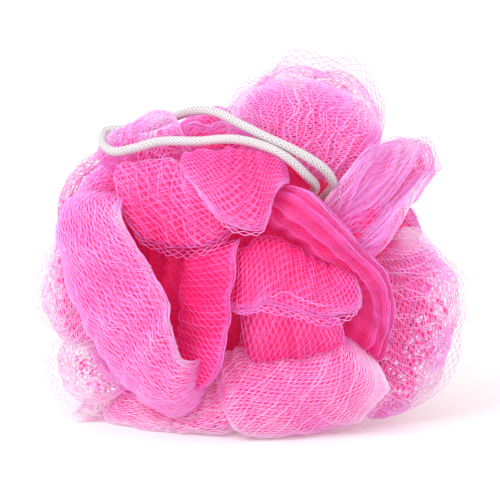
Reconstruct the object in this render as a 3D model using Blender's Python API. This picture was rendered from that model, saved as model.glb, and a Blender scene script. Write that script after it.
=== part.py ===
"""A gathered-net bath sponge: folds of net standing out from a tied waist, with a loop of braided cord.

The net is one piece. Every fold is a sheet that leaves the gathered bulk, turns over and lies along the
ball, so it is lofted through three curves: its hidden anchor, its root and its rim. Lengths are in metres,
+Z is up, and the origin is the middle of the sponge's footprint.
"""

import math
import random
from dataclasses import dataclass

import bmesh
import bpy
import numpy as np
from mathutils import Matrix, Vector

# The ball of folds. A fold's points are given in per cent of these radii.
BALL_RADIUS_ACROSS = 0.063
BALL_RADIUS_DEEP = 0.058
BALL_RADIUS_UP = 0.063
CENTRE_HEIGHT = 0.0533  # of the ball's centre above the floor
FLOOR_SOFTNESS = 0.006  # the folds squash within this height of the floor
FLAT_SPOT = 0.0020  # how much the floor flattens the lowest folds
FACE_TIP = 8.0  # degrees that the front folds' outlines lean back, as they are seen from a little above

# The net. A fold is a flattened tube of net, so it holds two layers and the air between them.
FOLD_THICKNESS = 0.0042
BULK_REACH = 62.0  # per cent: the gathered bulk that the folds grow from
BULK_GATHERS = 9
BULK_RINGS = 9
GATHER_DEPTH = 0.05  # as a share of the bulk's radius
GATHER_SLANT = 2.2  # in gathers, from one end of the waist to the other
ANCHOR_REACH = 50.0  # per cent: where a fold starts, inside the bulk
ANCHOR_LEAN = 0.3  # how far the anchor follows the rim's direction, where the root's counts as 1
ROOT_SHARE = 0.38  # of the way along a fold, from anchor to rim
EDGE_ROUNDING = 0.30  # share of a fold's height over which it thins to its rim
END_ROUNDING = 0.16
TURN_SHARE = 0.6  # a fold thins where it is narrow, to this share of the distance between its points

# The cord and what ties the net.
CORD_DIAMETER = 0.003
SEAT_GAP = 0.0003  # between pieces that touch
CORD_SPACING = CORD_DIAMETER + 4 * SEAT_GAP  # between the middles of the two legs inside the net
TIE_DIAMETER = 0.0014
TIE_TURNS = 3
TIE_INSIDE = (CORD_SPACING + CORD_DIAMETER) / 2 + SEAT_GAP  # radius inside the tie's turns
KNOT_WRAPS = 3
KNOT_RADIUS = TIE_INSIDE + 0.4 * CORD_DIAMETER
KNOT_GROOVE = 0.25  # how deep the knot's wraps are marked, as a share of the cord's diameter
LEG_LENGTH = 0.52 * BALL_RADIUS_ACROSS  # of each leg inside the net, in front of the tie
CRUMB_SHARE = 0.0004  # of the ball's radius cubed: smaller closed shells are pockets, and are filled

# Facets.
FACET_LENGTH = 0.0095
SLIM_SHARE = 0.74  # of the facets kept once the folds are joined
CORD_POINT_SPACING = 2.2  # in cord diameters
PLAIN_ROWS = (0.0, 0.42, 0.8, 1.0)  # from root to rim
PLEATED_ROWS = (0.0, 0.16, 0.32, 0.48, 0.64, 0.8, 1.0)
ROUND_SIDES = 20
LEG_POINTS = 5
LINE_SAMPLES = 2000

NET_PINK = (0.96, 0.16, 0.50, 1.0)
CORD_WHITE = (0.90, 0.88, 0.88, 1.0)
TIE_WHITE = (0.85, 0.84, 0.82, 1.0)


@dataclass
class Fold:
    """One fold of the net. rim and root are curves through points (across, up, reach), in per cent.

    across and up are as seen by someone who faces the fold, and reach is the distance from the ball's
    centre, with a minus sign on the far side. bulge puffs the fold out between root and rim, in per cent.
    ruffle is (waves along the rim, their height in per cent, phase in turns), and pleats is the same from
    root to rim. dents are the hollows in the ball's outline that the fold follows.
    """

    name: str
    rim: tuple
    root: tuple
    bulge: float = 4.0
    ruffle: tuple = (2.0, 2.0, 0.0)
    pleats: tuple = (0.0, 0.0, 0.0)
    turn: float = 0.0
    tip: float = FACE_TIP
    dents: tuple = ()


FRONT_FOLDS = (
    Fold(
        "left_cup",
        rim=(
            (-66, 33, 93), (-58, 10, 99), (-48, -6, 102), (-40, -21, 103),
            (-37, -37, 103), (-32, -49, 101), (-21, -56, 95),
        ),
        root=(
            (-85, 34, 95), (-89, 8, 95), (-82, -24, 92), (-68, -50, 91),
            (-50, -68, 91), (-36, -75, 90), (-20, -74, 88),
        ),
        bulge=6.0,
        ruffle=(1.5, 1.2, 0.1),
    ),
    Fold(
        "cup_wall",
        rim=(
            (-4, 10, 89), (-7, -2, 95), (-10, -16, 99), (-11, -32, 101),
            (-12, -47, 102), (-18, -60, 100), (-32, -70, 95),
        ),
        root=((-21, 8, 78), (-29, -6, 72), (-31, -22, 72), (-32, -38, 75), (-35, -52, 84), (-42, -62, 89)),
        bulge=-3.0,
        ruffle=(1.5, 1.0, 0.3),
    ),
    Fold(
        "leaf_top",
        rim=(
            (-34, 44, 93), (-22, 33, 97), (-9, 23, 100), (3, 13, 101), (9, 21, 99),
            (12, 31, 97), (22, 41, 95),
        ),
        root=((-34, 46, 87), (-17, 49, 90), (-5, 50, 91), (7, 48, 91), (18, 44, 89)),
        bulge=4.0,
        ruffle=(1.0, 1.0, 0.0),
    ),
    Fold(
        "window",
        rim=((-61, 16, 84), (-47, 6, 80), (-31, 4, 79), (-16, 8, 82), (-4, 17, 86)),
        root=((-68, 41, 91), (-51, 44, 89), (-34, 43, 89), (-21, 36, 90), (-10, 27, 90)),
        bulge=3.0,
        ruffle=(1.5, 1.5, 0.2),
    ),
    Fold(
        "centre_upper",
        rim=(
            (-13, -26, 94), (-2, -25, 99), (9, -22, 101), (23, -25, 103),
            (37, -28, 103), (50, -26, 102), (59, -15, 98),
        ),
        root=((-9, -4, 84), (4, 5, 82), (16, 6, 82), (26, -1, 83), (38, -6, 86), (52, -6, 90)),
        bulge=-1.0,
        ruffle=(1.0, 1.0, 0.4),
    ),
    Fold(
        "centre_lower",
        rim=((-4, -19, 93), (8, -19, 96), (22, -21, 98), (36, -26, 98), (48, -33, 96)),
        root=((-6, -52, 78), (8, -51, 80), (22, -49, 82), (36, -46, 84), (47, -43, 86)),
        bulge=3.0,
        ruffle=(2.0, 1.0, 0.0),
    ),
    Fold(
        "pleats",
        rim=(
            (17, 38, 89), (27, 33, 93), (39, 23, 96), (54, 6, 97), (67, -9, 99),
            (70, -23, 99), (68, -38, 98), (66, -60, 95),
        ),
        root=(
            (5, 28, 81), (14, 19, 82), (25, 12, 84), (38, 1, 86), (51, -9, 88),
            (56, -20, 88), (52, -32, 88), (49, -45, 88),
        ),
        bulge=3.0,
        ruffle=(2.0, 1.0, 0.0),
        pleats=(2.0, 2.0, 0.0),
    ),
    Fold(
        "ear",
        rim=(
            (41, 29, 90), (49, 42, 95), (60, 52, 98), (74, 57, 101), (89, 55, 105),
            (93, 47, 105), (83, 33, 101), (73, 15, 97), (66, -3, 94),
        ),
        root=((39, 20, 82), (45, 24, 83), (50, 20, 84), (53, 9, 84), (54, -4, 84)),
        bulge=3.0,
        ruffle=(2.5, 1.8, 0.25),
    ),
    Fold(
        "top_lobe",
        rim=(
            (-12, 66, 90), (-3, 80, 94), (18, 88, 96), (40, 85, 98), (56, 76, 98),
            (65, 63, 96), (68, 50, 90),
        ),
        root=((0, 60, 84), (14, 56, 84), (28, 51, 84), (40, 45, 84), (52, 40, 85)),
        bulge=5.0,
        ruffle=(3.0, 1.5, 0.0),
    ),
    Fold(
        "top_veil",
        rim=((0, 86, -95), (20, 93, -98), (37, 93, -103), (54, 87, -106), (64, 74, -101), (69, 61, -95)),
        root=((10, 70, -88), (32, 68, -90), (52, 56, -88)),
        bulge=3.0,
        ruffle=(3.0, 1.5, 0.3),
    ),
    Fold(
        "right_lobe",
        rim=(
            (77, 14, 91), (94, 1, 98), (101, -9, 104), (103, -28, 109),
            (101, -47, 113), (93, -62, 113), (78, -78, 112), (58, -87, 106),
        ),
        root=(
            (68, 6, 84), (72, -14, 86), (72, -28, 86), (68, -42, 86),
            (62, -56, 88), (54, -66, 90), (42, -74, 91),
        ),
        bulge=5.0,
        ruffle=(3.0, 2.0, 0.1),
    ),
    Fold(
        "lower_right",
        rim=(
            (67, -53, 97), (65, -66, 102), (58, -78, 106), (46, -86, 107),
            (30, -91, 107), (12, -92, 105), (-7, -89, 100),
        ),
        root=((44, -36, 88), (26, -47, 86), (7, -52, 85), (-8, -55, 86), (-17, -64, 88)),
        bulge=8.0,
        ruffle=(1.5, 2.0, 0.0),
    ),
    Fold(
        "bottom_strip",
        rim=((-78, -83, 114), (-60, -87, 108), (-40, -89, 104), (-20, -90, 102), (0, -91, 101)),
        root=((-68, -70, 98), (-52, -73, 93), (-33, -75, 90), (-18, -70, 88), (-4, -63, 87)),
        bulge=4.0,
        ruffle=(2.0, 1.5, 0.4),
    ),
    Fold(
        "left_lobe",
        rim=(
            (-89, 15, 93), (-98, 3, 100), (-102, -10, 104), (-102, -24, 106),
            (-99, -36, 107), (-91, -45, 103),
        ),
        root=((-82, 8, 88), (-82, -10, 87), (-79, -25, 87), (-75, -37, 87), (-70, -48, 87)),
        bulge=3.0,
        ruffle=(2.0, 1.5, 0.1),
    ),
    Fold(
        "low_left_lobe",
        rim=(
            (-90, -38, 99), (-95, -47, 107), (-96, -57, 112), (-92, -67, 114),
            (-84, -74, 113), (-73, -78, 108),
        ),
        root=((-73, -40, 86), (-71, -50, 88), (-66, -58, 90), (-58, -66, 90)),
        bulge=3.0,
        ruffle=(2.0, 1.5, 0.0),
    ),
    Fold(
        "low_left_tip",
        rim=((-80, -72, 108), (-85, -79, 117), (-80, -86, 118), (-69, -88, 112)),
        root=((-70, -70, 99), (-68, -73, 100), (-64, -75, 99), (-58, -78, 98)),
        bulge=2.0,
        ruffle=(1.0, 1.0, 0.0),
    ),
    Fold(
        "top_left_veil",
        rim=((-58, 65, -90), (-73, 53, -91), (-88, 37, -96), (-95, 20, -98), (-95, 5, -97)),
        root=((-55, 50, -82), (-67, 42, -82), (-77, 34, -86), (-82, 22, -87), (-84, 8, -86)),
        bulge=3.0,
        ruffle=(2.0, 1.5, 0.0),
    ),
    Fold(
        "cord_fold",
        rim=((-70, 51, 90), (-62, 61, 95), (-50, 69, 98), (-41, 71, 98), (-36, 68, 97), (-31, 57, 92)),
        root=((-70, 42, 84), (-60, 46, 86), (-46, 48, 86), (-38, 50, 86), (-32, 50, 85)),
        bulge=4.0,
        ruffle=(2.0, 1.0, 0.0),
    ),
    Fold(
        "top_mid",
        rim=((-34, 59, 86), (-22, 65, 87), (-8, 63, 86), (5, 58, 84)),
        root=((-31, 50, 78), (-15, 50, 78), (2, 50, 78)),
        bulge=3.0,
        ruffle=(2.0, 1.5, 0.0),
    ),
)

# The folds that the photograph doesn't show are spread evenly over the rest of the ball.
SPREAD_FOLDS = 30  # over the whole ball; those that would meet the front folds are left out
FRONT_SHARE = 0.38  # a spread fold is left out where it faces the front more than this
SPREAD_SIZES = (0.85, 1.15)  # the smallest and the largest, as shares of the next two
SPREAD_HALF_LENGTH = 52.0
SPREAD_HEIGHT = 42.0
SPREAD_REACHES = (89.0, 96.0)
SPREAD_BOW = (-90, -50, 0, 50, 90)  # degrees along its bowed rim at which a spread fold has points
SPREAD_TUCK = 8.0  # how much lower a spread fold's ends lie than its middle
SPREAD_RIM_DROP = 0.45  # of its height, as the next two
SPREAD_ROOT_BOW = 0.5
SPREAD_ROOT_DROP = 0.9
SPREAD_ROOT_WIDTH = 0.86  # of its rim's
SPREAD_ROOT_REACH = 79.0
SPREAD_SEED = 7
SPREAD_RUFFLE = (2.0, 3.0)
SPREAD_DENTS = (  # where the outline is flatter: (direction, depth as a share, cosine of the half width)
    ((-0.42, 0.25, 0.87), 0.25, 0.62),
    ((0.93, 0.10, 0.35), 0.10, 0.80),
)

# The hanging cord's route after it leaves the waist, as (across, up, reach) like a fold's points.
CORD_ROUTE = (
    (32, 33, 82),
    (27, 40, 93),
    (18, 48, 99),
    (6, 54, 100),
    (-8, 57, 99),
    (-25, 56, 98),
    (-43, 56, 97),
    (-55, 53, 97),
    (-66, 51, 97),
    (-72, 55, 97),
    (-71, 61, 96),
    (-62, 62, 91),
    (-50, 63, 87),
    (-37, 68, 88),
    (-26, 71, 94),
    (-16, 70, 98),
    (-4, 64, 99),
    (8, 58, 100),
    (21, 52, 100),
    (33, 45, 98),
    (39, 39, 93),
    (40, 33, 83),
)
WAIST_AIM = (35, 30, 80)  # the two legs leave the waist towards this point


def clear_scene():
    for obj in list(bpy.data.objects):
        bpy.data.objects.remove(obj)


def make_material(name, colour, roughness):
    """A Principled material of one colour."""
    material = bpy.data.materials.new(name)
    material.use_nodes = True
    shader = material.node_tree.nodes["Principled BSDF"]
    shader.inputs["Base Color"].default_value = colour
    shader.inputs["Roughness"].default_value = roughness
    shader.inputs["Metallic"].default_value = 0.0
    return material


def make_object(name, verts, faces, material=None):
    """A smooth-shaded mesh object with its normals pointing out."""
    mesh = bpy.data.meshes.new(name)
    mesh.from_pydata([tuple(v) for v in verts], [], faces)
    work = bmesh.new()
    work.from_mesh(mesh)
    bmesh.ops.recalc_face_normals(work, faces=work.faces)
    work.to_mesh(mesh)
    work.free()
    mesh.shade_smooth()
    if material:
        mesh.materials.append(material)
    obj = bpy.data.objects.new(name, mesh)
    bpy.context.scene.collection.objects.link(obj)
    return obj


def ball_points(points, turn, tip):
    """Points given as (across, up, reach) in per cent, on the ball of radius 1."""
    across, up, reach = np.array(points, float).T / 100
    depth = np.sign(reach) * np.sqrt(np.maximum(reach**2 - across**2 - up**2, 0.0))
    seen = np.stack([across, -depth, up], axis=1)
    turned = Matrix.Rotation(math.radians(turn), 3, "Z") @ Matrix.Rotation(math.radians(-tip), 3, "X")
    return seen @ np.array(turned).T


def to_size(unit):
    """Points of the ball of radius 1 at their real size, squashed softly onto the floor."""
    radii = np.array([BALL_RADIUS_ACROSS, BALL_RADIUS_DEEP, BALL_RADIUS_UP])
    placed = unit * radii + np.array([0.0, 0.0, CENTRE_HEIGHT])
    low = placed[..., 2] < FLOOR_SOFTNESS
    placed[..., 2] = np.where(
        low,
        FLOOR_SOFTNESS * np.exp(np.minimum(placed[..., 2] / FLOOR_SOFTNESS - 1, 0)),
        placed[..., 2],
    )
    placed[..., 2] -= FLAT_SPOT
    return placed


def draw_in(points, dents):
    """The points moved towards the ball's middle where they lie in a dent."""
    for direction, depth, edge in dents:
        facing = points @ np.array(direction) / np.linalg.norm(points, axis=-1)
        points = points * (1 - depth * np.clip((facing - edge) / (1 - edge), 0, 1))[:, None]
    return points


def smooth_curve(points, knots, at):
    """A smooth curve through points, read at each value of at. points has one row for each knot."""
    points = np.asarray(points, float)
    slopes = np.empty_like(points)
    gaps = np.diff(knots).reshape(-1, *([1] * (points.ndim - 1)))
    slopes[1:-1] = (points[2:] - points[:-2]) / (gaps[1:] + gaps[:-1])
    slopes[0] = (points[1] - points[0]) / gaps[0]
    slopes[-1] = (points[-1] - points[-2]) / gaps[-1]
    part = np.clip(np.searchsorted(knots, at, side="right") - 1, 0, len(knots) - 2)
    size = np.take(np.diff(knots), part)
    x = (at - np.take(knots, part)) / size
    shape = (...,) + (None,) * (points.ndim - 1)
    x, size = x[shape], size[shape]
    return (
        (2 * x**3 - 3 * x**2 + 1) * points[part]
        + (x**3 - 2 * x**2 + x) * size * slopes[part]
        + (3 * x**2 - 2 * x**3) * points[part + 1]
        + (x**3 - x**2) * size * slopes[part + 1]
    )


def even_knots(points):
    """Knots from 0 to 1 that follow the distances between the points."""
    steps = np.linalg.norm(np.diff(points, axis=0), axis=1)
    return np.concatenate([[0.0], np.cumsum(steps)]) / steps.sum()


def fold_middle(fold, s, t):
    """The middle of a fold's two layers: s runs from anchor to rim, t along the rim, both 1-D arrays."""
    rim = draw_in(ball_points(fold.rim, fold.turn, fold.tip), fold.dents)
    root = draw_in(ball_points(fold.root, fold.turn, fold.tip), fold.dents)
    rim_at = smooth_curve(rim, even_knots(rim), t)
    root_at = smooth_curve(root, even_knots(root), t)
    inwards = root_at + ANCHOR_LEAN * rim_at
    anchor_at = inwards / np.linalg.norm(inwards, axis=1, keepdims=True) * ANCHOR_REACH / 100
    rows = smooth_curve(np.stack([anchor_at, root_at, rim_at]), np.array([0.0, ROOT_SHARE, 1.0]), s)
    beyond = np.clip((s - ROOT_SHARE) / (1 - ROOT_SHARE), 0, 1)
    outwards = rows / np.maximum(np.linalg.norm(rows, axis=-1, keepdims=True), 1e-9)
    return rows + outwards * (fold.bulge / 100 * np.sin(np.pi * beyond))[:, None, None]


def fold_normals(fold, s, t, step=1e-3):
    """Unit normals of a fold's middle, on the grid of s and t."""
    along_s = fold_middle(fold, np.minimum(s + step, 1), t) - fold_middle(fold, np.maximum(s - step, 0), t)
    along_t = fold_middle(fold, s, np.minimum(t + step, 1)) - fold_middle(fold, s, np.maximum(t - step, 0))
    normals = np.cross(along_s, along_t)
    normals /= np.maximum(np.linalg.norm(normals, axis=-1, keepdims=True), 1e-12)
    outwards = np.sign((normals * fold_middle(fold, s, t)).sum(-1).mean())
    return normals * (outwards or 1.0)


def thickness_limit(middle, normals):
    """Half the thickness that a sheet can have without its layers crossing where it turns tightly."""
    limit = np.inf
    for axis in (0, 1):
        turned = np.linalg.norm(np.gradient(normals, axis=axis), axis=-1)
        moved = np.linalg.norm(np.gradient(middle, axis=axis), axis=-1)
        limit = np.minimum(limit, TURN_SHARE * moved / np.maximum(turned, 1))
    return limit


def fold_layers(fold, s, t):
    """The two faces of a fold on the grid of s and t, at real size. They meet at the rim and the ends."""
    normals = fold_normals(fold, s, t)
    beyond = np.clip((s - ROOT_SHARE) / (1 - ROOT_SHARE), 0, 1)[:, None]
    waves, height, phase = fold.ruffle
    lift = height / 100 * beyond * np.sin(2 * np.pi * (waves * t[None, :] + phase))
    waves, height, phase = fold.pleats
    lift = lift + height / 100 * np.sin(2 * np.pi * (waves * beyond + phase)) * np.ones_like(t)[None, :]
    middle = fold_middle(fold, s, t) + normals * lift[..., None]
    rim_share = np.clip((s - 1 + EDGE_ROUNDING) / EDGE_ROUNDING, 0, 1)
    end_share = np.clip(1 - np.minimum(t, 1 - t) / END_ROUNDING, 0, 1)
    thick = np.outer(np.sqrt(1 - rim_share**2), np.sqrt(1 - end_share**2))
    radii = np.array([BALL_RADIUS_ACROSS, BALL_RADIUS_DEEP, BALL_RADIUS_UP])
    widest = np.minimum(FOLD_THICKNESS / 2, thickness_limit(middle * radii, normals))
    half = normals / radii * (widest * thick)[..., None]
    return to_size(middle + half), to_size(middle - half)


def fold_grid(fold):
    """The values of s and t at which a fold has points, closer together at its rim and ends."""
    rim = ball_points(fold.rim, fold.turn, fold.tip) * BALL_RADIUS_ACROSS
    length = np.linalg.norm(np.diff(rim, axis=0), axis=1).sum()
    steps = max(6, round(length / FACET_LENGTH))
    t = np.linspace(0, 1, steps + 1)
    rows = PLEATED_ROWS if fold.pleats[1] else PLAIN_ROWS
    s = [0.0, *(ROOT_SHARE + (1 - ROOT_SHARE) * row for row in rows)]
    return np.array(s), t


def make_fold(fold):
    """A closed sheet: two faces that share the points of the rim and ends, and a strip inside the bulk."""
    s, t = fold_grid(fold)
    front, back = fold_layers(fold, s, t)
    rows, columns = len(s), len(t)
    verts = list(front.reshape(-1, 3))
    upper = np.arange(rows * columns).reshape(rows, columns)
    lower = upper.copy()
    for i in range(rows - 1):
        for j in range(1, columns - 1):
            lower[i, j] = len(verts)
            verts.append(back[i, j])
    shared = set((upper[upper == lower]).tolist())
    faces = []
    for side in (upper, lower):
        for i in range(rows - 1):
            for j in range(columns - 1):
                near, far = side[i, j], side[i + 1, j + 1]
                for face in ((near, side[i, j + 1], far), (near, far, side[i + 1, j])):
                    if not shared.issuperset(face):
                        faces.append(face)
    for j in range(columns - 1):
        ring = (upper[0, j], upper[0, j + 1], lower[0, j + 1], lower[0, j])
        faces.append(tuple(dict.fromkeys(ring)))
    return make_object("fold_" + fold.name, verts, [tuple(int(v) for v in face) for face in faces])


def spread_folds():
    """The folds over the sides, back, top and underside, spread evenly by the golden angle."""
    dice = random.Random(SPREAD_SEED)
    golden = math.pi * (3 - math.sqrt(5))
    front = Vector((0, -1, 0))
    folds = []
    for k in range(SPREAD_FOLDS):
        rise = 1 - 2 * (k + 0.5) / SPREAD_FOLDS
        flat = math.sqrt(1 - rise * rise)
        facing = Vector((flat * math.cos(golden * k), flat * math.sin(golden * k), rise))
        roll = dice.uniform(0, 2 * math.pi)
        size = dice.uniform(*SPREAD_SIZES)
        reach = dice.uniform(*SPREAD_REACHES)
        if facing.dot(front) > FRONT_SHARE:
            continue
        turn = math.degrees(math.atan2(facing.x, -facing.y))
        tip = math.degrees(math.asin(facing.z))
        folds.append(spread_fold(f"spread_{k:02d}", turn, tip, roll, size, reach, dice.uniform(0, 1)))
    return folds


def spread_fold(name, turn, tip, roll, size, reach, phase):
    """A fold with a bowed rim, turned by roll about the direction that it faces."""
    def rolled(x, y, out):
        return (
            x * math.cos(roll) - y * math.sin(roll),
            x * math.sin(roll) + y * math.cos(roll),
            out,
        )

    half, high = SPREAD_HALF_LENGTH * size, SPREAD_HEIGHT * size
    rim, root = [], []
    for degrees in SPREAD_BOW:
        a = math.radians(degrees)
        over = high * (math.cos(a) - SPREAD_RIM_DROP)
        under = high * (SPREAD_ROOT_BOW * math.cos(a) - SPREAD_ROOT_DROP)
        rim.append(rolled(half * math.sin(a), over, reach - SPREAD_TUCK * math.sin(a) ** 4))
        root.append(rolled(SPREAD_ROOT_WIDTH * half * math.sin(a), under, SPREAD_ROOT_REACH))
    return Fold(
        name,
        tuple(rim),
        tuple(root),
        ruffle=(*SPREAD_RUFFLE, phase),
        turn=turn,
        tip=tip,
        dents=SPREAD_DENTS,
    )


def waist_frame():
    """The waist's own frame: its origin in the ball's middle, and Z along the way out of the cord's legs."""
    middle = Vector(to_size(np.zeros((1, 3)))[0])
    aim = Vector(to_size(ball_points([WAIST_AIM], 0, FACE_TIP))[0])
    out = (aim - middle).normalized()
    side = (Vector((1, 0, 0)) - out * out.x).normalized()
    frame = Matrix((side, out.cross(side), out)).transposed().to_4x4()
    frame.translation = middle
    return frame


def make_bulk():
    """The gathered middle of the net, with its gathers running from pole to pole of the waist."""
    turned = np.array(waist_frame().to_3x3())
    rings = BULK_RINGS
    around = 2 * BULK_GATHERS
    verts, faces = [], []
    for i in range(1, rings):
        polar = math.pi * i / rings
        for j in range(around):
            angle = 2 * math.pi * j / around
            ripple = 1 + GATHER_DEPTH * math.sin(polar) * math.cos(BULK_GATHERS * angle)
            angle += GATHER_SLANT * math.cos(polar) * math.pi / BULK_GATHERS
            ring = ripple * math.sin(polar)
            verts.append((ring * math.cos(angle), ring * math.sin(angle), ripple * math.cos(polar)))
    verts += [(0.0, 0.0, 1.0), (0.0, 0.0, -1.0)]
    top, bottom = len(verts) - 2, len(verts) - 1
    for i in range(rings - 2):
        for j in range(around):
            k = (j + 1) % around
            faces.append((i * around + j, (i + 1) * around + j, (i + 1) * around + k, i * around + k))
    for j in range(around):
        k = (j + 1) % around
        faces.append((top, j, k))
        faces.append((bottom, (rings - 2) * around + k, (rings - 2) * around + j))
    unit = np.array(verts) @ turned.T * BULK_REACH / 100
    return make_object("gathered_net", to_size(unit), faces)


def join_by_boolean(obj, operation, others):
    """Adds a Boolean that joins others to obj, or cuts them from it. The others become hidden helpers."""
    group = bpy.data.collections.new(operation.lower() + "_pieces")
    bpy.context.scene.collection.children.link(group)
    for other in others:
        for home in list(other.users_collection):
            home.objects.unlink(other)
        group.objects.link(other)
        other.hide_render = True
        other.display_type = "WIRE"
    boolean = obj.modifiers.new(operation.lower(), "BOOLEAN")
    boolean.operation = operation
    boolean.operand_type = "COLLECTION"
    boolean.collection = group
    boolean.solver = "EXACT"
    boolean.use_self = operation == "UNION"
    return boolean


def make_turned(name, profile, material=None):
    """A ring, turned about the waist's axis. profile is a closed loop of (radius, along) points."""
    verts = []
    faces = []
    count = len(profile)
    for k in range(ROUND_SIDES):
        angle = 2 * math.pi * k / ROUND_SIDES
        verts += [(r * math.cos(angle), r * math.sin(angle), along) for r, along in profile]
        ahead = (k + 1) % ROUND_SIDES
        for i in range(count):
            j = (i + 1) % count
            faces.append((k * count + i, ahead * count + i, ahead * count + j, k * count + j))
    obj = make_object(name, verts, faces, material)
    obj.matrix_world = waist_frame()
    return obj


def make_drum(name, radius, start, end):
    """A plain cylinder about the waist's axis, from start to end along it."""
    work = bmesh.new()
    bmesh.ops.create_cone(
        work, cap_ends=True, segments=ROUND_SIDES, radius1=radius, radius2=radius, depth=end - start
    )
    bmesh.ops.translate(work, verts=work.verts, vec=(0, 0, (start + end) / 2))
    mesh = bpy.data.meshes.new(name)
    work.to_mesh(mesh)
    work.free()
    obj = bpy.data.objects.new(name, mesh)
    bpy.context.scene.collection.objects.link(obj)
    obj.matrix_world = waist_frame()
    return obj


def tie_span():
    """Where the tie starts and ends along the waist's axis."""
    half = TIE_TURNS * TIE_DIAMETER / 2
    return -half, half


def knot_span():
    """Where the knot starts and ends along the waist's axis, behind the tie."""
    front = tie_span()[0] - SEAT_GAP
    return front - KNOT_WRAPS * CORD_DIAMETER, front


def make_tie(material):
    """The turns of string that bind the cord's two legs where the net is gathered."""
    start, _ = tie_span()
    radius = TIE_DIAMETER / 2
    inner = []
    outer = []
    for turn in range(TIE_TURNS):
        middle = start + (turn + 0.5) * TIE_DIAMETER
        outer += [(TIE_INSIDE + 1.5 * radius, middle - radius), (TIE_INSIDE + 2 * radius, middle)]
        inner += [(TIE_INSIDE, middle)]
    end = middle + radius
    profile = [*outer, (TIE_INSIDE + 1.5 * radius, end), (TIE_INSIDE + 0.5 * radius, end), *reversed(inner)]
    profile.append((TIE_INSIDE + 0.5 * radius, start))
    return make_turned("waist_tie", profile, material)


def make_knot(material):
    """The stopper knot in the cord's ends: wraps of cord side by side, as one drum with marks between."""
    start, end = knot_span()
    radius = KNOT_RADIUS
    mark = radius - KNOT_GROOVE * CORD_DIAMETER
    outline = [(mark, start)]
    for wrap in range(KNOT_WRAPS):
        near = start + wrap * CORD_DIAMETER
        outline += [(radius, near + 0.3 * CORD_DIAMETER), (radius, near + 0.7 * CORD_DIAMETER)]
        outline += [(mark, near + CORD_DIAMETER)]
    verts = [(0, 0, start), (0, 0, end)]
    faces = []
    count = len(outline)
    for k in range(ROUND_SIDES):
        angle = 2 * math.pi * k / ROUND_SIDES
        verts += [(r * math.cos(angle), r * math.sin(angle), along) for r, along in outline]
        here = 2 + k * count
        ahead = 2 + (k + 1) % ROUND_SIDES * count
        faces.append((0, ahead, here))
        faces.append((1, here + count - 1, ahead + count - 1))
        for i in range(count - 1):
            faces.append((here + i, ahead + i, ahead + i + 1, here + i + 1))
    obj = make_object("cord_knot", verts, faces, material)
    obj.matrix_world = waist_frame()
    return obj


def cord_points():
    """The hanging cord's middle line: out of the knot, through the tie, around the loop and back."""
    frame = waist_frame()
    route = [Vector(p) for p in to_size(ball_points(CORD_ROUTE, 0, FACE_TIP))]
    start = knot_span()[1] + SEAT_GAP
    steps = np.linspace(start, LEG_LENGTH, LEG_POINTS)
    first_leg = [frame @ Vector((-CORD_SPACING / 2, 0, along)) for along in steps]
    last_leg = [frame @ Vector((CORD_SPACING / 2, 0, along)) for along in reversed(steps)]
    points = np.array([*first_leg, *route, *last_leg])
    knots = even_knots(points)
    length = np.linalg.norm(np.diff(points, axis=0), axis=1).sum()
    samples = np.linspace(0, 1, LINE_SAMPLES)
    fine = smooth_curve(points, knots, samples)
    travelled = even_knots(fine)
    count = round(length / (CORD_POINT_SPACING * CORD_DIAMETER))
    even = np.interp(np.linspace(0, 1, count + 1), travelled, samples)
    return smooth_curve(points, knots, even)


def make_tube(name, points, radius, material=None):
    """A round tube along points, with filled caps."""
    curve = bpy.data.curves.new(name, "CURVE")
    curve.dimensions = "3D"
    curve.bevel_depth = radius
    curve.bevel_resolution = 2
    curve.use_fill_caps = True
    spline = curve.splines.new("POLY")
    spline.points.add(len(points) - 1)
    for place, point in zip(spline.points, points):
        place.co = (*point, 1.0)
    if material:
        curve.materials.append(material)
    obj = bpy.data.objects.new(name, curve)
    bpy.context.scene.collection.objects.link(obj)
    return obj


def mesh_copy(obj):
    """A mesh object of a curve, closed at its caps, to cut with."""
    mesh = bpy.data.meshes.new_from_object(obj.evaluated_get(bpy.context.evaluated_depsgraph_get()))
    bpy.data.objects.remove(obj)
    work = bmesh.new()
    work.from_mesh(mesh)
    bmesh.ops.remove_doubles(work, verts=work.verts, dist=1e-6)
    work.to_mesh(mesh)
    work.free()
    copy = bpy.data.objects.new("cord_groove", mesh)
    bpy.context.scene.collection.objects.link(copy)
    return copy


def make_cutters():
    """What the net gives way to: the legs' way in, the tie, the knot, the cord's groove, and the floor."""
    seat_radius = max(TIE_INSIDE + TIE_DIAMETER, KNOT_RADIUS) + SEAT_GAP
    seat = make_drum("waist_seat", seat_radius, knot_span()[0] - SEAT_GAP, tie_span()[1] + SEAT_GAP)
    way_in = make_drum("way_in", TIE_INSIDE, 0.0, LEG_LENGTH + CORD_DIAMETER)
    bpy.context.view_layer.update()
    groove = mesh_copy(make_tube("cord_groove_line", cord_points(), CORD_DIAMETER / 2 + SEAT_GAP))
    work = bmesh.new()
    bmesh.ops.create_cube(work, size=4 * BALL_RADIUS_ACROSS)
    bmesh.ops.translate(work, verts=work.verts, vec=(0, 0, -2 * BALL_RADIUS_ACROSS))
    mesh = bpy.data.meshes.new("floor_cut")
    work.to_mesh(mesh)
    work.free()
    floor = bpy.data.objects.new("floor_cut", mesh)
    bpy.context.scene.collection.objects.link(floor)
    return seat, way_in, groove, floor


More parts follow.
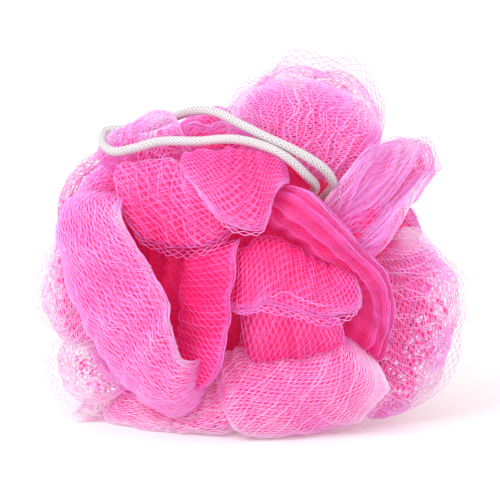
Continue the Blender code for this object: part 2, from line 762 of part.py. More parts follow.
def centre_on_origin(net, pieces):
    """Moves every piece so that the origin is the middle of the net's footprint."""
    bpy.context.view_layer.update()
    final = net.evaluated_get(bpy.context.evaluated_depsgraph_get())
    low, high = Vector(final.bound_box[0]), Vector(final.bound_box[6])
    holder = bpy.data.objects.new("sponge", None)
    bpy.context.scene.collection.objects.link(holder)
    holder.location = (-(low.x + high.x) / 2, -(low.y + high.y) / 2, 0.0)
    for piece in pieces:
        piece.parent = holder


def fill_pockets(obj):
    """Makes obj's modifiers final and fills the air pockets that its folds close in."""
    final = obj.evaluated_get(bpy.context.evaluated_depsgraph_get())
    mesh = bpy.data.meshes.new_from_object(final)
    work = bmesh.new()
    work.from_mesh(mesh)
    unseen = set(work.verts)
    while unseen:
        start = unseen.pop()
        island, front = {start}, [start]
        while front:
            for edge in front.pop().link_edges:
                for vert in edge.verts:
                    if vert in unseen:
                        unseen.discard(vert)
                        island.add(vert)
                        front.append(vert)
        volume = 0.0
        for face in {face for vert in island for face in vert.link_faces}:
            first, *rest = [vert.co for vert in face.verts]
            for a, b in zip(rest, rest[1:]):
                volume += first.dot(a.cross(b)) / 6
        if volume < CRUMB_SHARE * BALL_RADIUS_ACROSS**3:
            bmesh.ops.delete(work, geom=list(island), context="VERTS")
    work.to_mesh(mesh)
    work.free()
    obj.modifiers.clear()
    obj.data = mesh


def main():
    clear_scene()
    net = make_material("net", NET_PINK, 0.45)
    cord_white = make_material("braided_cord", CORD_WHITE, 0.7)
    tie_white = make_material("tie_string", TIE_WHITE, 0.7)
    body = make_bulk()
    body.data.materials.append(net)
    folds = [make_fold(fold) for fold in (*FRONT_FOLDS, *spread_folds())]
    join_by_boolean(body, "UNION", folds)
    fill_pockets(body)
    slim = body.modifiers.new("slim", "DECIMATE")
    slim.ratio = SLIM_SHARE
    cutters = make_cutters()
    join_by_boolean(body, "DIFFERENCE", cutters)
    cord = make_tube("hanging_cord", cord_points(), CORD_DIAMETER / 2, cord_white)
    centre_on_origin(body, [body, *cutters, cord, make_tie(tie_white), make_knot(cord_white)])


main()
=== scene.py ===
"""The look of a gathered-net bath sponge: net strands, the layers under them, and a braided hanging cord."""

import math
import random
from dataclasses import dataclass

import bmesh
import bpy
import numpy as np
from bpy.props import FloatProperty, FloatVectorProperty, PointerProperty
from bpy.types import Operator, Panel, PropertyGroup
from mathutils import Matrix, Vector
from mathutils.kdtree import KDTree


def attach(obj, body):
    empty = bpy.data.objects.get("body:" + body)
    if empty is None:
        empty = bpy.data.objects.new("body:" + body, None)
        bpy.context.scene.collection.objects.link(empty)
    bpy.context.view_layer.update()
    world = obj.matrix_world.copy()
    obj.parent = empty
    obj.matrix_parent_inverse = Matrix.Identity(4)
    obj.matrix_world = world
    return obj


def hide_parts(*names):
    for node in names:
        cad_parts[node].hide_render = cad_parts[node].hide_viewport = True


bl_info = {
    "name": "Net Bath Sponge",
    "version": (1, 0, 0),
    "blender": (4, 5, 0),
    "location": "View3D > Sidebar > Bath Sponge",
    "description": "Builds a gathered-net bath sponge with its braided cord and a small studio around it",
    "category": "Add Mesh",
}

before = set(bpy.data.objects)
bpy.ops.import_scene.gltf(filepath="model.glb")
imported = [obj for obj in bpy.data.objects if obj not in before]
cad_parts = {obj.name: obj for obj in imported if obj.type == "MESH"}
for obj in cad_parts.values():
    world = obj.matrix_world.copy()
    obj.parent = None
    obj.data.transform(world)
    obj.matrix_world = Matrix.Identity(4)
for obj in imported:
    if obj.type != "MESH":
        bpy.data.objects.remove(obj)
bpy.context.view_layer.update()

# The ball of folds, as it was built: a fold's points are given in per cent of these radii.
BALL_RADII = np.array([0.063, 0.058, 0.063])
CENTRE_HEIGHT = 0.0533
FLOOR_SOFTNESS = 0.006
FLAT_SPOT = 0.0020  # how far the ball is then let down, so that it rests on a flat spot
LOWEST = 0.0004  # how near the floor a fold comes
FACE_TIP = 8.0
FOOTPRINT_SHIFT = np.array([-0.00017, 0.00099, 0.0])
ANCHOR_REACH = 50.0
ANCHOR_LEAN = 0.3
ROOT_SHARE = 0.38
EDGE_ROUNDING = 0.30
END_ROUNDING = 0.16
BULK_REACH = 62.0
FOLD_THICKNESS = 0.0034

# The cord's route and what it passes through.
CORD_DIAMETER = 0.003
LEG_LENGTH = 0.52 * BALL_RADII[0]
SEAT_GAP = 0.0003
TIE_DIAMETER = 0.0014
TIE_TURNS = 3
WAIST_AIM = (35, 30, 80)
CORD_ROUTE = (
    (32, 33, 82), (27, 40, 93), (18, 48, 99), (6, 54, 100), (-8, 57, 99), (-25, 56, 98),
    (-43, 56, 97), (-55, 53, 97), (-66, 51, 97), (-72, 55, 97), (-71, 61, 96), (-62, 62, 91),
    (-50, 63, 87), (-37, 68, 88), (-26, 71, 94), (-16, 70, 98), (-4, 64, 99), (8, 58, 100),
    (21, 52, 100), (33, 45, 98), (39, 39, 93), (40, 33, 83),
)


@dataclass
class Fold:
    """One fold of the net.

    rim and root are curves through points (across, up, reach), in per cent of the ball. bulge is how far it
    swells between them, in per cent too. ruffle and pleats are waves along it and up it: how many, their
    height in per cent, and their phase. turn and tip are the direction that the fold is seen from, in
    degrees, and dents draw it in where the outline is flatter.

    lay is how the net lies on it: the angle between its strands and the rim, the distance between strands
    and the length of a loop in millimetres, and how wide the loops are drawn open, from 0 to 1. tone is how
    pale the net is painted: from 0, one open layer over the hollows, painted deep as the shade there, to 1,
    many close layers. veil is how far it can be seen through near its rim, from 0 to 1. lip is the strands
    that follow the rim: how many on each side, and their spacing in millimetres. loose is a second, open
    layer of single strands: their angle to the rim and their spacing. fringe is a thin strip of net beyond
    the rim: how many strands, and their spacing. fade is how much painted light its rim has over the painted
    shade at its root, where below 0 the rim is painted deeper. over_cord is whether it covers the cord's far
    leg, which otherwise presses into it.
    """

    name: str
    rim: tuple
    root: tuple
    bulge: float = 4.0
    ruffle: tuple = (2.0, 1.5, 0.0)
    pleats: tuple = (0.0, 0.0, 0.0)
    turn: float = 0.0
    tip: float = FACE_TIP
    dents: tuple = ()
    lay: tuple = (0.0, 1.05, 3.6, 0.85)
    tone: float = 0.6
    veil: float = 0.0
    over_cord: bool = False
    lip: tuple = (4, 0.6)
    loose: tuple = ()
    fade: float = 1.0
    fringe: tuple = ()


FRONT_FOLDS = (
    Fold(
        "left_cup",
        rim=(
            (-66, 33, 93), (-58, 10, 99), (-48, -6, 102), (-40, -21, 103), (-37, -37, 103), (-32, -49, 101),
            (-21, -56, 95),
        ),
        root=(
            (-85, 34, 95), (-89, 8, 95), (-82, -24, 92), (-68, -50, 91), (-50, -68, 91), (-36, -75, 90),
            (-20, -74, 88),
        ),
        bulge=6.0, ruffle=(1.5, 1.2, 0.1), lay=(18.0, 0.72, 4.4, 0.9), tone=0.78, lip=(5, 0.5),
        loose=(14.0, 2.6), fade=0.4,
    ),
    Fold(
        "cup_wall",
        rim=(
            (-4, 10, 89), (-7, -2, 95), (-10, -16, 99), (-11, -32, 101), (-12, -47, 102), (-18, -60, 100),
            (-32, -70, 95),
        ),
        root=((-21, 8, 78), (-29, -6, 72), (-31, -22, 72), (-32, -38, 75), (-35, -52, 84), (-42, -62, 89)),
        bulge=-3.0, ruffle=(1.5, 1.0, 0.3), lay=(88.0, 1.15, 5.0, 0.95), tone=0.22, lip=(3, 0.5),
    ),
    Fold(
        "leaf_top",
        rim=(
            (-34, 44, 93), (-24, 32, 97), (-14, 19, 99), (-4, 14, 100), (6, 14, 100), (11, 23, 98),
            (13, 32, 97), (22, 41, 95),
        ),
        root=((-34, 46, 87), (-17, 49, 90), (-5, 50, 91), (7, 48, 91), (18, 44, 89)),
        ruffle=(1.0, 1.0, 0.0), lay=(-4.0, 0.85, 3.2, 0.9), tone=0.46, lip=(5, 0.45), fringe=(2, 0.9),
    ),
    Fold(
        "window",
        rim=((-61, 16, 84), (-47, 6, 80), (-31, 4, 79), (-16, 8, 82), (-4, 17, 86)),
        root=((-68, 41, 91), (-51, 44, 89), (-34, 43, 89), (-21, 36, 90), (-10, 27, 90)),
        bulge=3.0, ruffle=(1.5, 1.5, 0.2), lay=(12.0, 1.15, 3.6, 0.95), tone=0.38, lip=(0, 0.5),
        loose=(66.0, 2.3), fringe=(3, 1.0), fade=-0.8,
    ),
    Fold(
        "centre_upper",
        rim=(
            (-13, -26, 94), (-2, -25, 99), (9, -22, 101), (23, -25, 103), (37, -28, 103), (50, -26, 102),
            (59, -15, 98),
        ),
        root=((-9, -4, 84), (4, 5, 82), (16, 6, 82), (26, -1, 83), (38, -6, 86), (52, -6, 90)),
        bulge=-1.0, ruffle=(1.0, 1.0, 0.4), lay=(118.0, 1.0, 3.4, 0.92), tone=0.38, lip=(4, 0.5),
        fringe=(3, 0.9),
    ),
    Fold(
        "centre_lower",
        rim=((-4, -19, 93), (8, -19, 96), (22, -21, 98), (36, -26, 98), (48, -33, 96)),
        root=((-6, -52, 78), (8, -51, 80), (22, -49, 82), (36, -46, 84), (47, -43, 86)),
        bulge=3.0, ruffle=(2.0, 1.0, 0.0), lay=(88.0, 0.9, 5.2, 0.95), tone=0.38, lip=(2, 0.4),
        fringe=(3, 1.0),
    ),
    Fold(
        "pleats",
        rim=(
            (17, 38, 89), (27, 33, 93), (39, 23, 96), (54, 6, 97), (67, -9, 99), (70, -23, 99),
            (68, -38, 98), (66, -60, 95),
        ),
        root=(
            (5, 28, 81), (14, 19, 82), (25, 12, 84), (38, 1, 86), (51, -9, 88), (56, -20, 88),
            (52, -32, 88), (49, -45, 88),
        ),
        bulge=3.0, ruffle=(2.0, 1.0, 0.0), pleats=(4.0, 1.3, 0.0), lay=(3.0, 0.5, 4.6, 0.6), tone=0.22,
        lip=(6, 0.5),
    ),
    Fold(
        "ear",
        rim=(
            (41, 29, 90), (49, 42, 95), (60, 52, 98), (74, 57, 101), (89, 55, 105), (93, 47, 105),
            (83, 33, 101), (73, 15, 97), (66, -3, 94),
        ),
        root=((39, 20, 82), (45, 24, 83), (50, 20, 84), (53, 9, 84), (54, -4, 84)),
        bulge=3.0, ruffle=(2.5, 1.8, 0.25), lay=(80.0, 0.68, 4.2, 0.75), tone=0.75, veil=0.55, lip=(6, 0.8),
        loose=(20.0, 2.6), fringe=(2, 0.8),
    ),
    Fold(
        "top_lobe",
        rim=(
            (-12, 66, 90), (-3, 80, 94), (18, 88, 96), (40, 85, 98), (56, 76, 98), (65, 63, 96),
            (68, 50, 90),
        ),
        root=((0, 60, 84), (14, 56, 84), (28, 51, 84), (40, 45, 84), (52, 40, 85)),
        bulge=5.0, ruffle=(3.0, 1.5, 0.0), lay=(6.0, 0.66, 4.2, 0.75), tone=0.88, veil=0.8, lip=(6, 0.7),
        loose=(80.0, 2.4), fringe=(4, 1.0), fade=0.8,
    ),
    Fold(
        "top_veil",
        rim=((0, 86, -95), (20, 93, -98), (37, 93, -103), (54, 87, -106), (64, 74, -101), (69, 61, -95)),
        root=((10, 70, -88), (32, 68, -90), (52, 56, -88)),
        bulge=3.0, ruffle=(3.0, 1.5, 0.3), lay=(30.0, 1.5, 4.0, 0.9), tone=0.85, veil=1.0, lip=(5, 1.2),
        fringe=(5, 1.1),
    ),
    Fold(
        "right_lobe",
        rim=(
            (77, 14, 91), (94, 1, 98), (101, -9, 104), (103, -28, 109), (101, -47, 113), (93, -62, 113),
            (78, -78, 112), (58, -87, 106),
        ),
        root=(
            (68, 6, 84), (72, -14, 86), (72, -28, 86), (68, -42, 86), (62, -56, 88), (54, -66, 90),
            (42, -74, 91),
        ),
        bulge=5.0, ruffle=(3.0, 2.0, 0.1), lay=(12.0, 0.78, 5.0, 0.8), tone=0.95, veil=1.0, lip=(8, 0.9),
        loose=(75.0, 2.6), fringe=(4, 0.85), fade=0.6,
    ),
    Fold(
        "lower_right",
        rim=(
            (67, -53, 97), (65, -66, 102), (58, -78, 106), (46, -86, 107), (30, -91, 107), (12, -92, 105),
            (-7, -89, 100),
        ),
        root=((44, -36, 88), (26, -47, 86), (7, -52, 85), (-8, -55, 86), (-17, -64, 88)),
        bulge=8.0, ruffle=(1.5, 2.0, 0.0), lay=(4.0, 0.64, 3.8, 0.75), tone=0.98, lip=(2, 0.5),
        loose=(28.0, 3.6), fringe=(4, 1.0), fade=0.5,
    ),
    Fold(
        "bottom_strip",
        rim=((-78, -83, 114), (-60, -87, 108), (-40, -89, 104), (-20, -90, 102), (0, -91, 101)),
        root=((-68, -70, 98), (-52, -73, 93), (-33, -75, 90), (-18, -70, 88), (-4, -63, 87)),
        ruffle=(2.0, 1.5, 0.4), lay=(0.0, 0.64, 4.2, 0.7), tone=1.25, veil=0.3, lip=(6, 0.6),
        loose=(10.0, 3.0), fringe=(3, 0.8),
    ),
    Fold(
        "left_lobe",
        rim=(
            (-89, 15, 93), (-98, 3, 100), (-102, -10, 104), (-102, -24, 106), (-99, -36, 107),
            (-91, -45, 103),
        ),
        root=((-82, 8, 88), (-82, -10, 87), (-79, -25, 87), (-75, -37, 87), (-70, -48, 87)),
        bulge=3.0, ruffle=(2.0, 1.5, 0.1), lay=(10.0, 0.72, 4.0, 0.75), tone=1.2, veil=0.75, lip=(6, 0.8),
        loose=(70.0, 2.6), fringe=(3, 0.85),
    ),
    Fold(
        "low_left_lobe",
        rim=(
            (-90, -38, 99), (-95, -47, 107), (-96, -57, 112), (-92, -67, 114), (-84, -74, 113),
            (-73, -78, 108),
        ),
        root=((-73, -40, 86), (-71, -50, 88), (-66, -58, 90), (-58, -66, 90)),
        bulge=3.0, lay=(0.0, 0.85, 5.0, 0.8), tone=1.2, veil=1.0, lip=(7, 0.9), loose=(50.0, 2.6),
        fringe=(4, 0.9),
    ),
    Fold(
        "low_left_tip",
        rim=((-80, -72, 108), (-85, -79, 117), (-80, -86, 118), (-69, -88, 112)),
        root=((-70, -70, 99), (-68, -73, 100), (-64, -75, 99), (-58, -78, 98)),
        bulge=2.0, ruffle=(1.0, 1.0, 0.0), lay=(0.0, 0.85, 4.6, 0.8), tone=1.2, veil=1.0, fringe=(3, 0.9),
    ),
    Fold(
        "top_left_veil",
        rim=((-58, 65, -90), (-73, 53, -91), (-88, 37, -96), (-95, 20, -98), (-95, 5, -97)),
        root=((-55, 50, -82), (-67, 42, -82), (-77, 34, -86), (-82, 22, -87), (-84, 8, -86)),
        bulge=3.0, lay=(8.0, 1.2, 4.6, 0.85), tone=0.95, veil=0.9, lip=(8, 0.9), fringe=(4, 0.8),
    ),
    Fold(
        "cord_fold",
        rim=((-70, 51, 90), (-62, 61, 95), (-50, 69, 98), (-41, 71, 98), (-36, 68, 97), (-31, 57, 92)),
        root=((-70, 42, 84), (-60, 46, 86), (-46, 48, 86), (-38, 50, 86), (-32, 50, 85)),
        ruffle=(2.0, 1.0, 0.0), lay=(75.0, 0.78, 3.2, 0.85), tone=0.85, veil=1.0, lip=(3, 0.5),
        loose=(10.0, 2.4), over_cord=True,
    ),
    Fold(
        "top_mid",
        rim=((-34, 59, 86), (-22, 65, 87), (-8, 63, 86), (5, 58, 84)),
        root=((-31, 50, 78), (-15, 50, 78), (2, 50, 78)),
        bulge=3.0, lay=(20.0, 0.78, 3.2, 0.85), tone=0.55, veil=0.6,
    ),
)

# The folds that the photograph doesn't show are spread evenly over the rest of the ball.
SPREAD_FOLDS = 30  # over the whole ball; those that would meet the front folds are left out
FRONT_SHARE = 0.38  # a spread fold is left out where it faces the front more than this
SPREAD_SIZES = (0.85, 1.15)  # the smallest and the largest, as shares of the next two
SPREAD_HALF_LENGTH = 52.0
SPREAD_HEIGHT = 42.0
SPREAD_REACHES = (89.0, 96.0)
SPREAD_BOW = (-90, -50, 0, 50, 90)  # degrees along its bowed rim at which a spread fold has points
SPREAD_TUCK = 8.0  # how much lower a spread fold's ends lie than its middle
SPREAD_RIM_DROP = 0.45  # of its height, as the next two
SPREAD_ROOT_BOW = 0.5
SPREAD_ROOT_DROP = 0.9
SPREAD_ROOT_WIDTH = 0.86  # of its rim's
SPREAD_ROOT_REACH = 79.0
SPREAD_SEED = 7
SPREAD_RUFFLE = (2.0, 3.0)
SPREAD_DENTS = (  # where the outline is flatter: (direction, depth as a share, cosine of the half width)
    ((-0.42, 0.25, 0.87), 0.25, 0.62),
    ((0.93, 0.10, 0.35), 0.10, 0.80),
)
SPREAD_LAYS = (25, 7)  # degrees by which the net's angle varies, and how fast it does with a fold's phase
SPREAD_PITCH = 1.15  # of the net on these folds, in millimetres
SPREAD_LOOP = 4.8
SPREAD_OPENING = 0.8
SPREAD_TONES = (0.55, 0.25, 11)  # the middle tone, by how much it varies, and how fast with a fold's phase
SPREAD_VEIL = 0.8

# How the net is made. A shade runs from 0, deep between the folds, to 1 at the outermost rims:
# painted shade at the roots and painted light at the rims.
NET_START = 0.24  # share of the way from anchor to rim at which strands begin, hidden in the gathered middle
NET_ROWS = 44
NET_COLUMNS = 110
RIM_CROWDING = 1.8  # rows of the surface crowd towards the rim, where it turns over
TURN_GAP = 0.6  # of a strand's radius, how near to halfway to its neighbour it turns back
OPENING_UNEVEN = 0.14  # how much more and less than usual the loops open in places
BACK_SHARE = 0.62  # how far down a fold's back layer the strands go, as a share of its height
TWIST_SHARE = 0.22  # of a loop's length, where two strands are twisted together
CORD_CLEARANCE = 0.00025  # between the cord and the strands that it lies on
CORD_PRESS = 0.006  # how far from the cord's middle line the net is pressed in
PRESS_SLOPE = 1.1  # of the net beside the cord, up from where the cord lies
STRAND_RADIUS = 0.00014
RIM_STEP = 0.0016  # between the points of the strands that follow no loops
LIP_WANDER = 0.5  # how far the strands of a lip stray, as a share of their spacing
LIP_WAVES = 3  # how much faster than the net's own unevenness they stray
LOOSE_WANDER = 0.003
LOOSE_WAVES = 2  # how much faster than the net's own unevenness loose strands stray
LOOSE_DRAWN = 9  # and how much faster that changes from one to the next
LOOSE_LIFT = 0.00025
LOOSE_PALENESS = 0.1  # how much paler loose and fringe strands are than their fold
ROUND_PITCH = 0.0008  # strands at least this far apart make round eyes, and closer ones drawn-out diamonds
NET_WANDER = 0.022  # length of the slow unevenness in how the net lies
NET_WAVES = 3  # waves that make up that unevenness
WAVE_SCALES = (0.6, 1.4)  # how many of each go into that length
WAVE_TURN = 6.28  # radians of one wave
LAST_PHASE = 6.3  # radians, the most that a wave is moved on by
WANDER = 0.0009  # how far the strands stray
WANDER_DRAWN = 0.3  # how much slower the straying changes from strand to strand than along one
NET_SEED = 3
NET_PIECES = 6
GATHER_SPACING = 0.0075  # between the fine gathers that run up a fold
GATHER_HEIGHT = 0.0006
GATHER_FADE = 0.9
GATHER_BENDS = (0.6, 9, 3)  # how far the gathers bend, and the radians of that along a fold and up it
WRINKLES = 2  # sets of soft creases on each fold, each with its own lean
WRINKLE_SPACINGS = (0.011, 0.024)
WRINKLE_LEAN = 0.35  # of the fold's length, from root to rim
WRINKLE_BENDS = (0.2, 0.5)  # how far the creases bend, as a share of their spacing
WRINKLE_WAVES = (4, 9)  # radians of that bending along a fold
WRINKLE_RISE = 4  # and from its root to its rim
WRINKLE_HEIGHT = 0.0005
CREST_HEIGHT = 0.0009
CREST_PAINTED_LIGHT = 0.28  # painted light on a crease's crest, and painted shade in its groove
FRINGE_LEAN = 0.005  # the length of fold below its rim that a fringe carries on from
FRINGE_WAVE = 0.42  # of the pitch, by which the strands of a fringe swing to and fro
FRINGE_UNEVEN = 0.35  # how much higher and lower a fringe stands in places
FRINGE_DRAWN = 0.15  # of the pitch, how far one strand's unevenness lies from the next one's
FRINGE_SWAY = 0.4  # how far a fringe leans out of its fold, as a share of its height

# The layers under the outermost strands.
LAYER_COLUMNS = 44
LAYER_ROWS = 18
LAYER_DEPTH = 0.0005
LAYER_TURN = 9.0
RIM_INSET = 0.0006
END_INSET = 0.001
TUCK_SHARE = 0.14  # of a fold's length, at each end, where it tucks in under the next fold
TUCK_DEPTH = 0.008
SEE_THROUGH = (0.005, 0.018)  # on a full veil, how far from the rim loops begin to fill, and are full
OPEN_SHARE = 0.36  # of the loops that stay open all over a full veil
CLOSED_VEIL = 0.4  # up to here a veil has open loops near its rim alone
DRAWN_PITCH = 1.0  # of the net drawn on the layers, in millimetres, as its UV map is
DRAWN_LOOP = 3.4
DRAWN_EDGE = (0.08, 0.16)  # shares of a loop: how far a drawn thread is solid, and where it ends

# How light spreads in the nylon, its painted glow, and the painted light and shade over a fold.
GLOW_RADII = (1.0, 0.22, 0.45)  # how far red, green and blue light spread, as shares of the depth
GLOW_DEPTH = 0.004
STRAND_GLOW_DEPTH = 0.0008
PAINTED_GLOW_STRENGTH = 0.08  # painted glow of the layers: emission for the red light many layers pass on
# emission strength of the strands' painted glow
STRAND_GLOW = 0.17
PAINTED_GLOW_OWN = 0.7  # how much of the strands' painted glow has their own colour
STRAND_UNEVEN = 0.12  # how much paler and deeper than their fold strands are in places
LAYER_UNEVEN = 0.18
PALEST = 1.25  # the paleness at which a strand has the veil's colour
EDGE_COVER = 3.0  # how much sooner than its loops the net drawn on the layers fills, from the rim down
RIM_PAINTED_LIGHT = 0.45  # painted light at a rim over the painted shade at a root
STRAND_LIGHT_LAYER_SHADE = 0.16  # painted: strands lighter than their fold, layers under them shaded deeper
RIM_EVEN = 0.7  # share of the way from root to rim at which the fold's own tone holds

# The gathered middle.
MIDDLE_GATHERS = 24
MIDDLE_GATHER_DEPTH = 0.06
MIDDLE_GATHER_SLANT = 1.2  # radians by which a gather winds round from the middle's waist to its pole
MIDDLE_GATHER_SIDES = 4  # faces across each gather
MIDDLE_RINGS = 48
# the gathered middle has shade 0: painted shade as deep as between the folds
MIDDLE_LOOK = {"shade": 0.0, "tone": 0.42, "cover": 1.0}
MIDDLE_NET_SIZE = np.array([240.0, 120.0])  # of the net drawn round it and along it, in millimetres

# The braid.
BRAID_STEP = 0.0003
BRAID_SIDES = 30
BRAID_YARNS = 8
BRAID_PITCH = 0.012
BRAID_DEPTH = 0.00032
BRAID_SIDE = (0.3, 0.2, 1.0)  # any direction but the cord's first one, which the braid is counted round from
BRAID_CROWN = 0.55  # how much a yarn's relief rises from its ends to its middle
LINE_SAMPLES = 4000
LEG_POINTS = 5

# The studio.
FLOOR_SIZE = 7.0
WALL_HEIGHT = FLOOR_SIZE / 2
SWEEP_WIDTH = FLOOR_SIZE / 6  # of the curve between the floor and the wall behind it
SWEEP_STEPS = 12
LAMPS = (("key_lamp", 0.5, (-0.45, -0.55, 0.65)), ("fill_lamp", 0.6, (0.7, -0.4, 0.35)))  # sizes and places
VIEW_POINT = (0.0, 0.0, 0.0525)  # where the camera looks
LAMP_POINT = (0.0, 0.0, 0.05)  # where the lamps do


def to_size(unit):
    """Points of the ball of radius 1 at their real size, squashed softly onto the floor."""
    placed = unit * BALL_RADII + np.array([0.0, 0.0, CENTRE_HEIGHT])
    low = placed[..., 2] < FLOOR_SOFTNESS
    squashed = FLOOR_SOFTNESS * np.exp(np.minimum(placed[..., 2] / FLOOR_SOFTNESS - 1, 0))
    placed[..., 2] = np.where(low, squashed, placed[..., 2]) - FLAT_SPOT
    placed[..., 2] = np.maximum(placed[..., 2], LOWEST)
    return placed + FOOTPRINT_SHIFT


def ball_points(points, turn, tip):
    """Points given as (across, up, reach) in per cent, on the ball of radius 1."""
    across, up, reach = np.array(points, float).T / 100
    depth = np.sign(reach) * np.sqrt(np.maximum(reach**2 - across**2 - up**2, 0.0))
    seen = np.stack([across, -depth, up], axis=1)
    turned = Matrix.Rotation(math.radians(turn), 3, "Z") @ Matrix.Rotation(math.radians(-tip), 3, "X")
    return seen @ np.array(turned).T


def draw_in(points, dents):
    """The points moved towards the ball's middle where they lie in a dent."""
    for direction, depth, edge in dents:
        facing = points @ np.array(direction) / np.linalg.norm(points, axis=-1)
        points = points * (1 - depth * np.clip((facing - edge) / (1 - edge), 0, 1))[:, None]
    return points


def smooth_curve(points, knots, at):
    """A smooth curve through points, read at each value of at. points has one row for each knot."""
    points = np.asarray(points, float)
    slopes = np.empty_like(points)
    gaps = np.diff(knots).reshape(-1, *([1] * (points.ndim - 1)))
    slopes[1:-1] = (points[2:] - points[:-2]) / (gaps[1:] + gaps[:-1])
    slopes[0] = (points[1] - points[0]) / gaps[0]
    slopes[-1] = (points[-1] - points[-2]) / gaps[-1]
    part = np.clip(np.searchsorted(knots, at, side="right") - 1, 0, len(knots) - 2)
    size = np.take(np.diff(knots), part)
    x = (at - np.take(knots, part)) / size
    shape = (...,) + (None,) * (points.ndim - 1)
    x, size = x[shape], size[shape]
    return (
        (2 * x**3 - 3 * x**2 + 1) * points[part]
        + (x**3 - 2 * x**2 + x) * size * slopes[part]
        + (3 * x**2 - 2 * x**3) * points[part + 1]
        + (x**3 - x**2) * size * slopes[part + 1]
    )


def even_knots(points):
    """Knots from 0 to 1 that follow the distances between the points."""
    steps = np.linalg.norm(np.diff(points, axis=0), axis=1)
    return np.concatenate([[0.0], np.cumsum(steps)]) / steps.sum()


def line_length(line):
    return float(np.linalg.norm(np.diff(line, axis=0), axis=1).sum())


def unit_vectors(vectors):
    return vectors / np.maximum(np.linalg.norm(vectors, axis=-1, keepdims=True), 1e-12)


def spread_folds():
    """The folds over the sides, back, top and underside, at directions spread evenly by the golden angle."""
    dice = random.Random(SPREAD_SEED)
    golden = math.pi * (3 - math.sqrt(5))
    front = Vector((0, -1, 0))
    folds = []
    for k in range(SPREAD_FOLDS):
        rise = 1 - 2 * (k + 0.5) / SPREAD_FOLDS
        flat = math.sqrt(1 - rise * rise)
        facing = Vector((flat * math.cos(golden * k), flat * math.sin(golden * k), rise))
        roll = dice.uniform(0, 2 * math.pi)
        size = dice.uniform(*SPREAD_SIZES)
        reach = dice.uniform(*SPREAD_REACHES)
        if facing.dot(front) > FRONT_SHARE:
            continue
        turn = math.degrees(math.atan2(facing.x, -facing.y))
        tip = math.degrees(math.asin(facing.z))
        folds.append(spread_fold(f"spread_{k:02d}", turn, tip, roll, size, reach, dice.uniform(0, 1)))
    return folds


def spread_fold(name, turn, tip, roll, size, reach, phase):
    """A fold with a bowed rim, turned by roll about the direction that it faces."""

    def rolled(x, y, out):
        return x * math.cos(roll) - y * math.sin(roll), x * math.sin(roll) + y * math.cos(roll), out

    half, high = SPREAD_HALF_LENGTH * size, SPREAD_HEIGHT * size
    rim, root = [], []
    for degrees in SPREAD_BOW:
        a = math.radians(degrees)
        over = high * (math.cos(a) - SPREAD_RIM_DROP)
        under = high * (SPREAD_ROOT_BOW * math.cos(a) - SPREAD_ROOT_DROP)
        rim.append(rolled(half * math.sin(a), over, reach - SPREAD_TUCK * math.sin(a) ** 4))
        root.append(rolled(SPREAD_ROOT_WIDTH * half * math.sin(a), under, SPREAD_ROOT_REACH))
    widest, pace = SPREAD_LAYS
    lay = (widest * math.sin(pace * phase), SPREAD_PITCH, SPREAD_LOOP, SPREAD_OPENING)
    middle, widest, pace = SPREAD_TONES
    tone = middle + widest * math.sin(pace * phase)
    return Fold(
        name,
        tuple(rim),
        tuple(root),
        ruffle=(*SPREAD_RUFFLE, phase),
        turn=turn,
        tip=tip,
        dents=SPREAD_DENTS,
        lay=lay,
        tone=tone,
        veil=SPREAD_VEIL,
    )


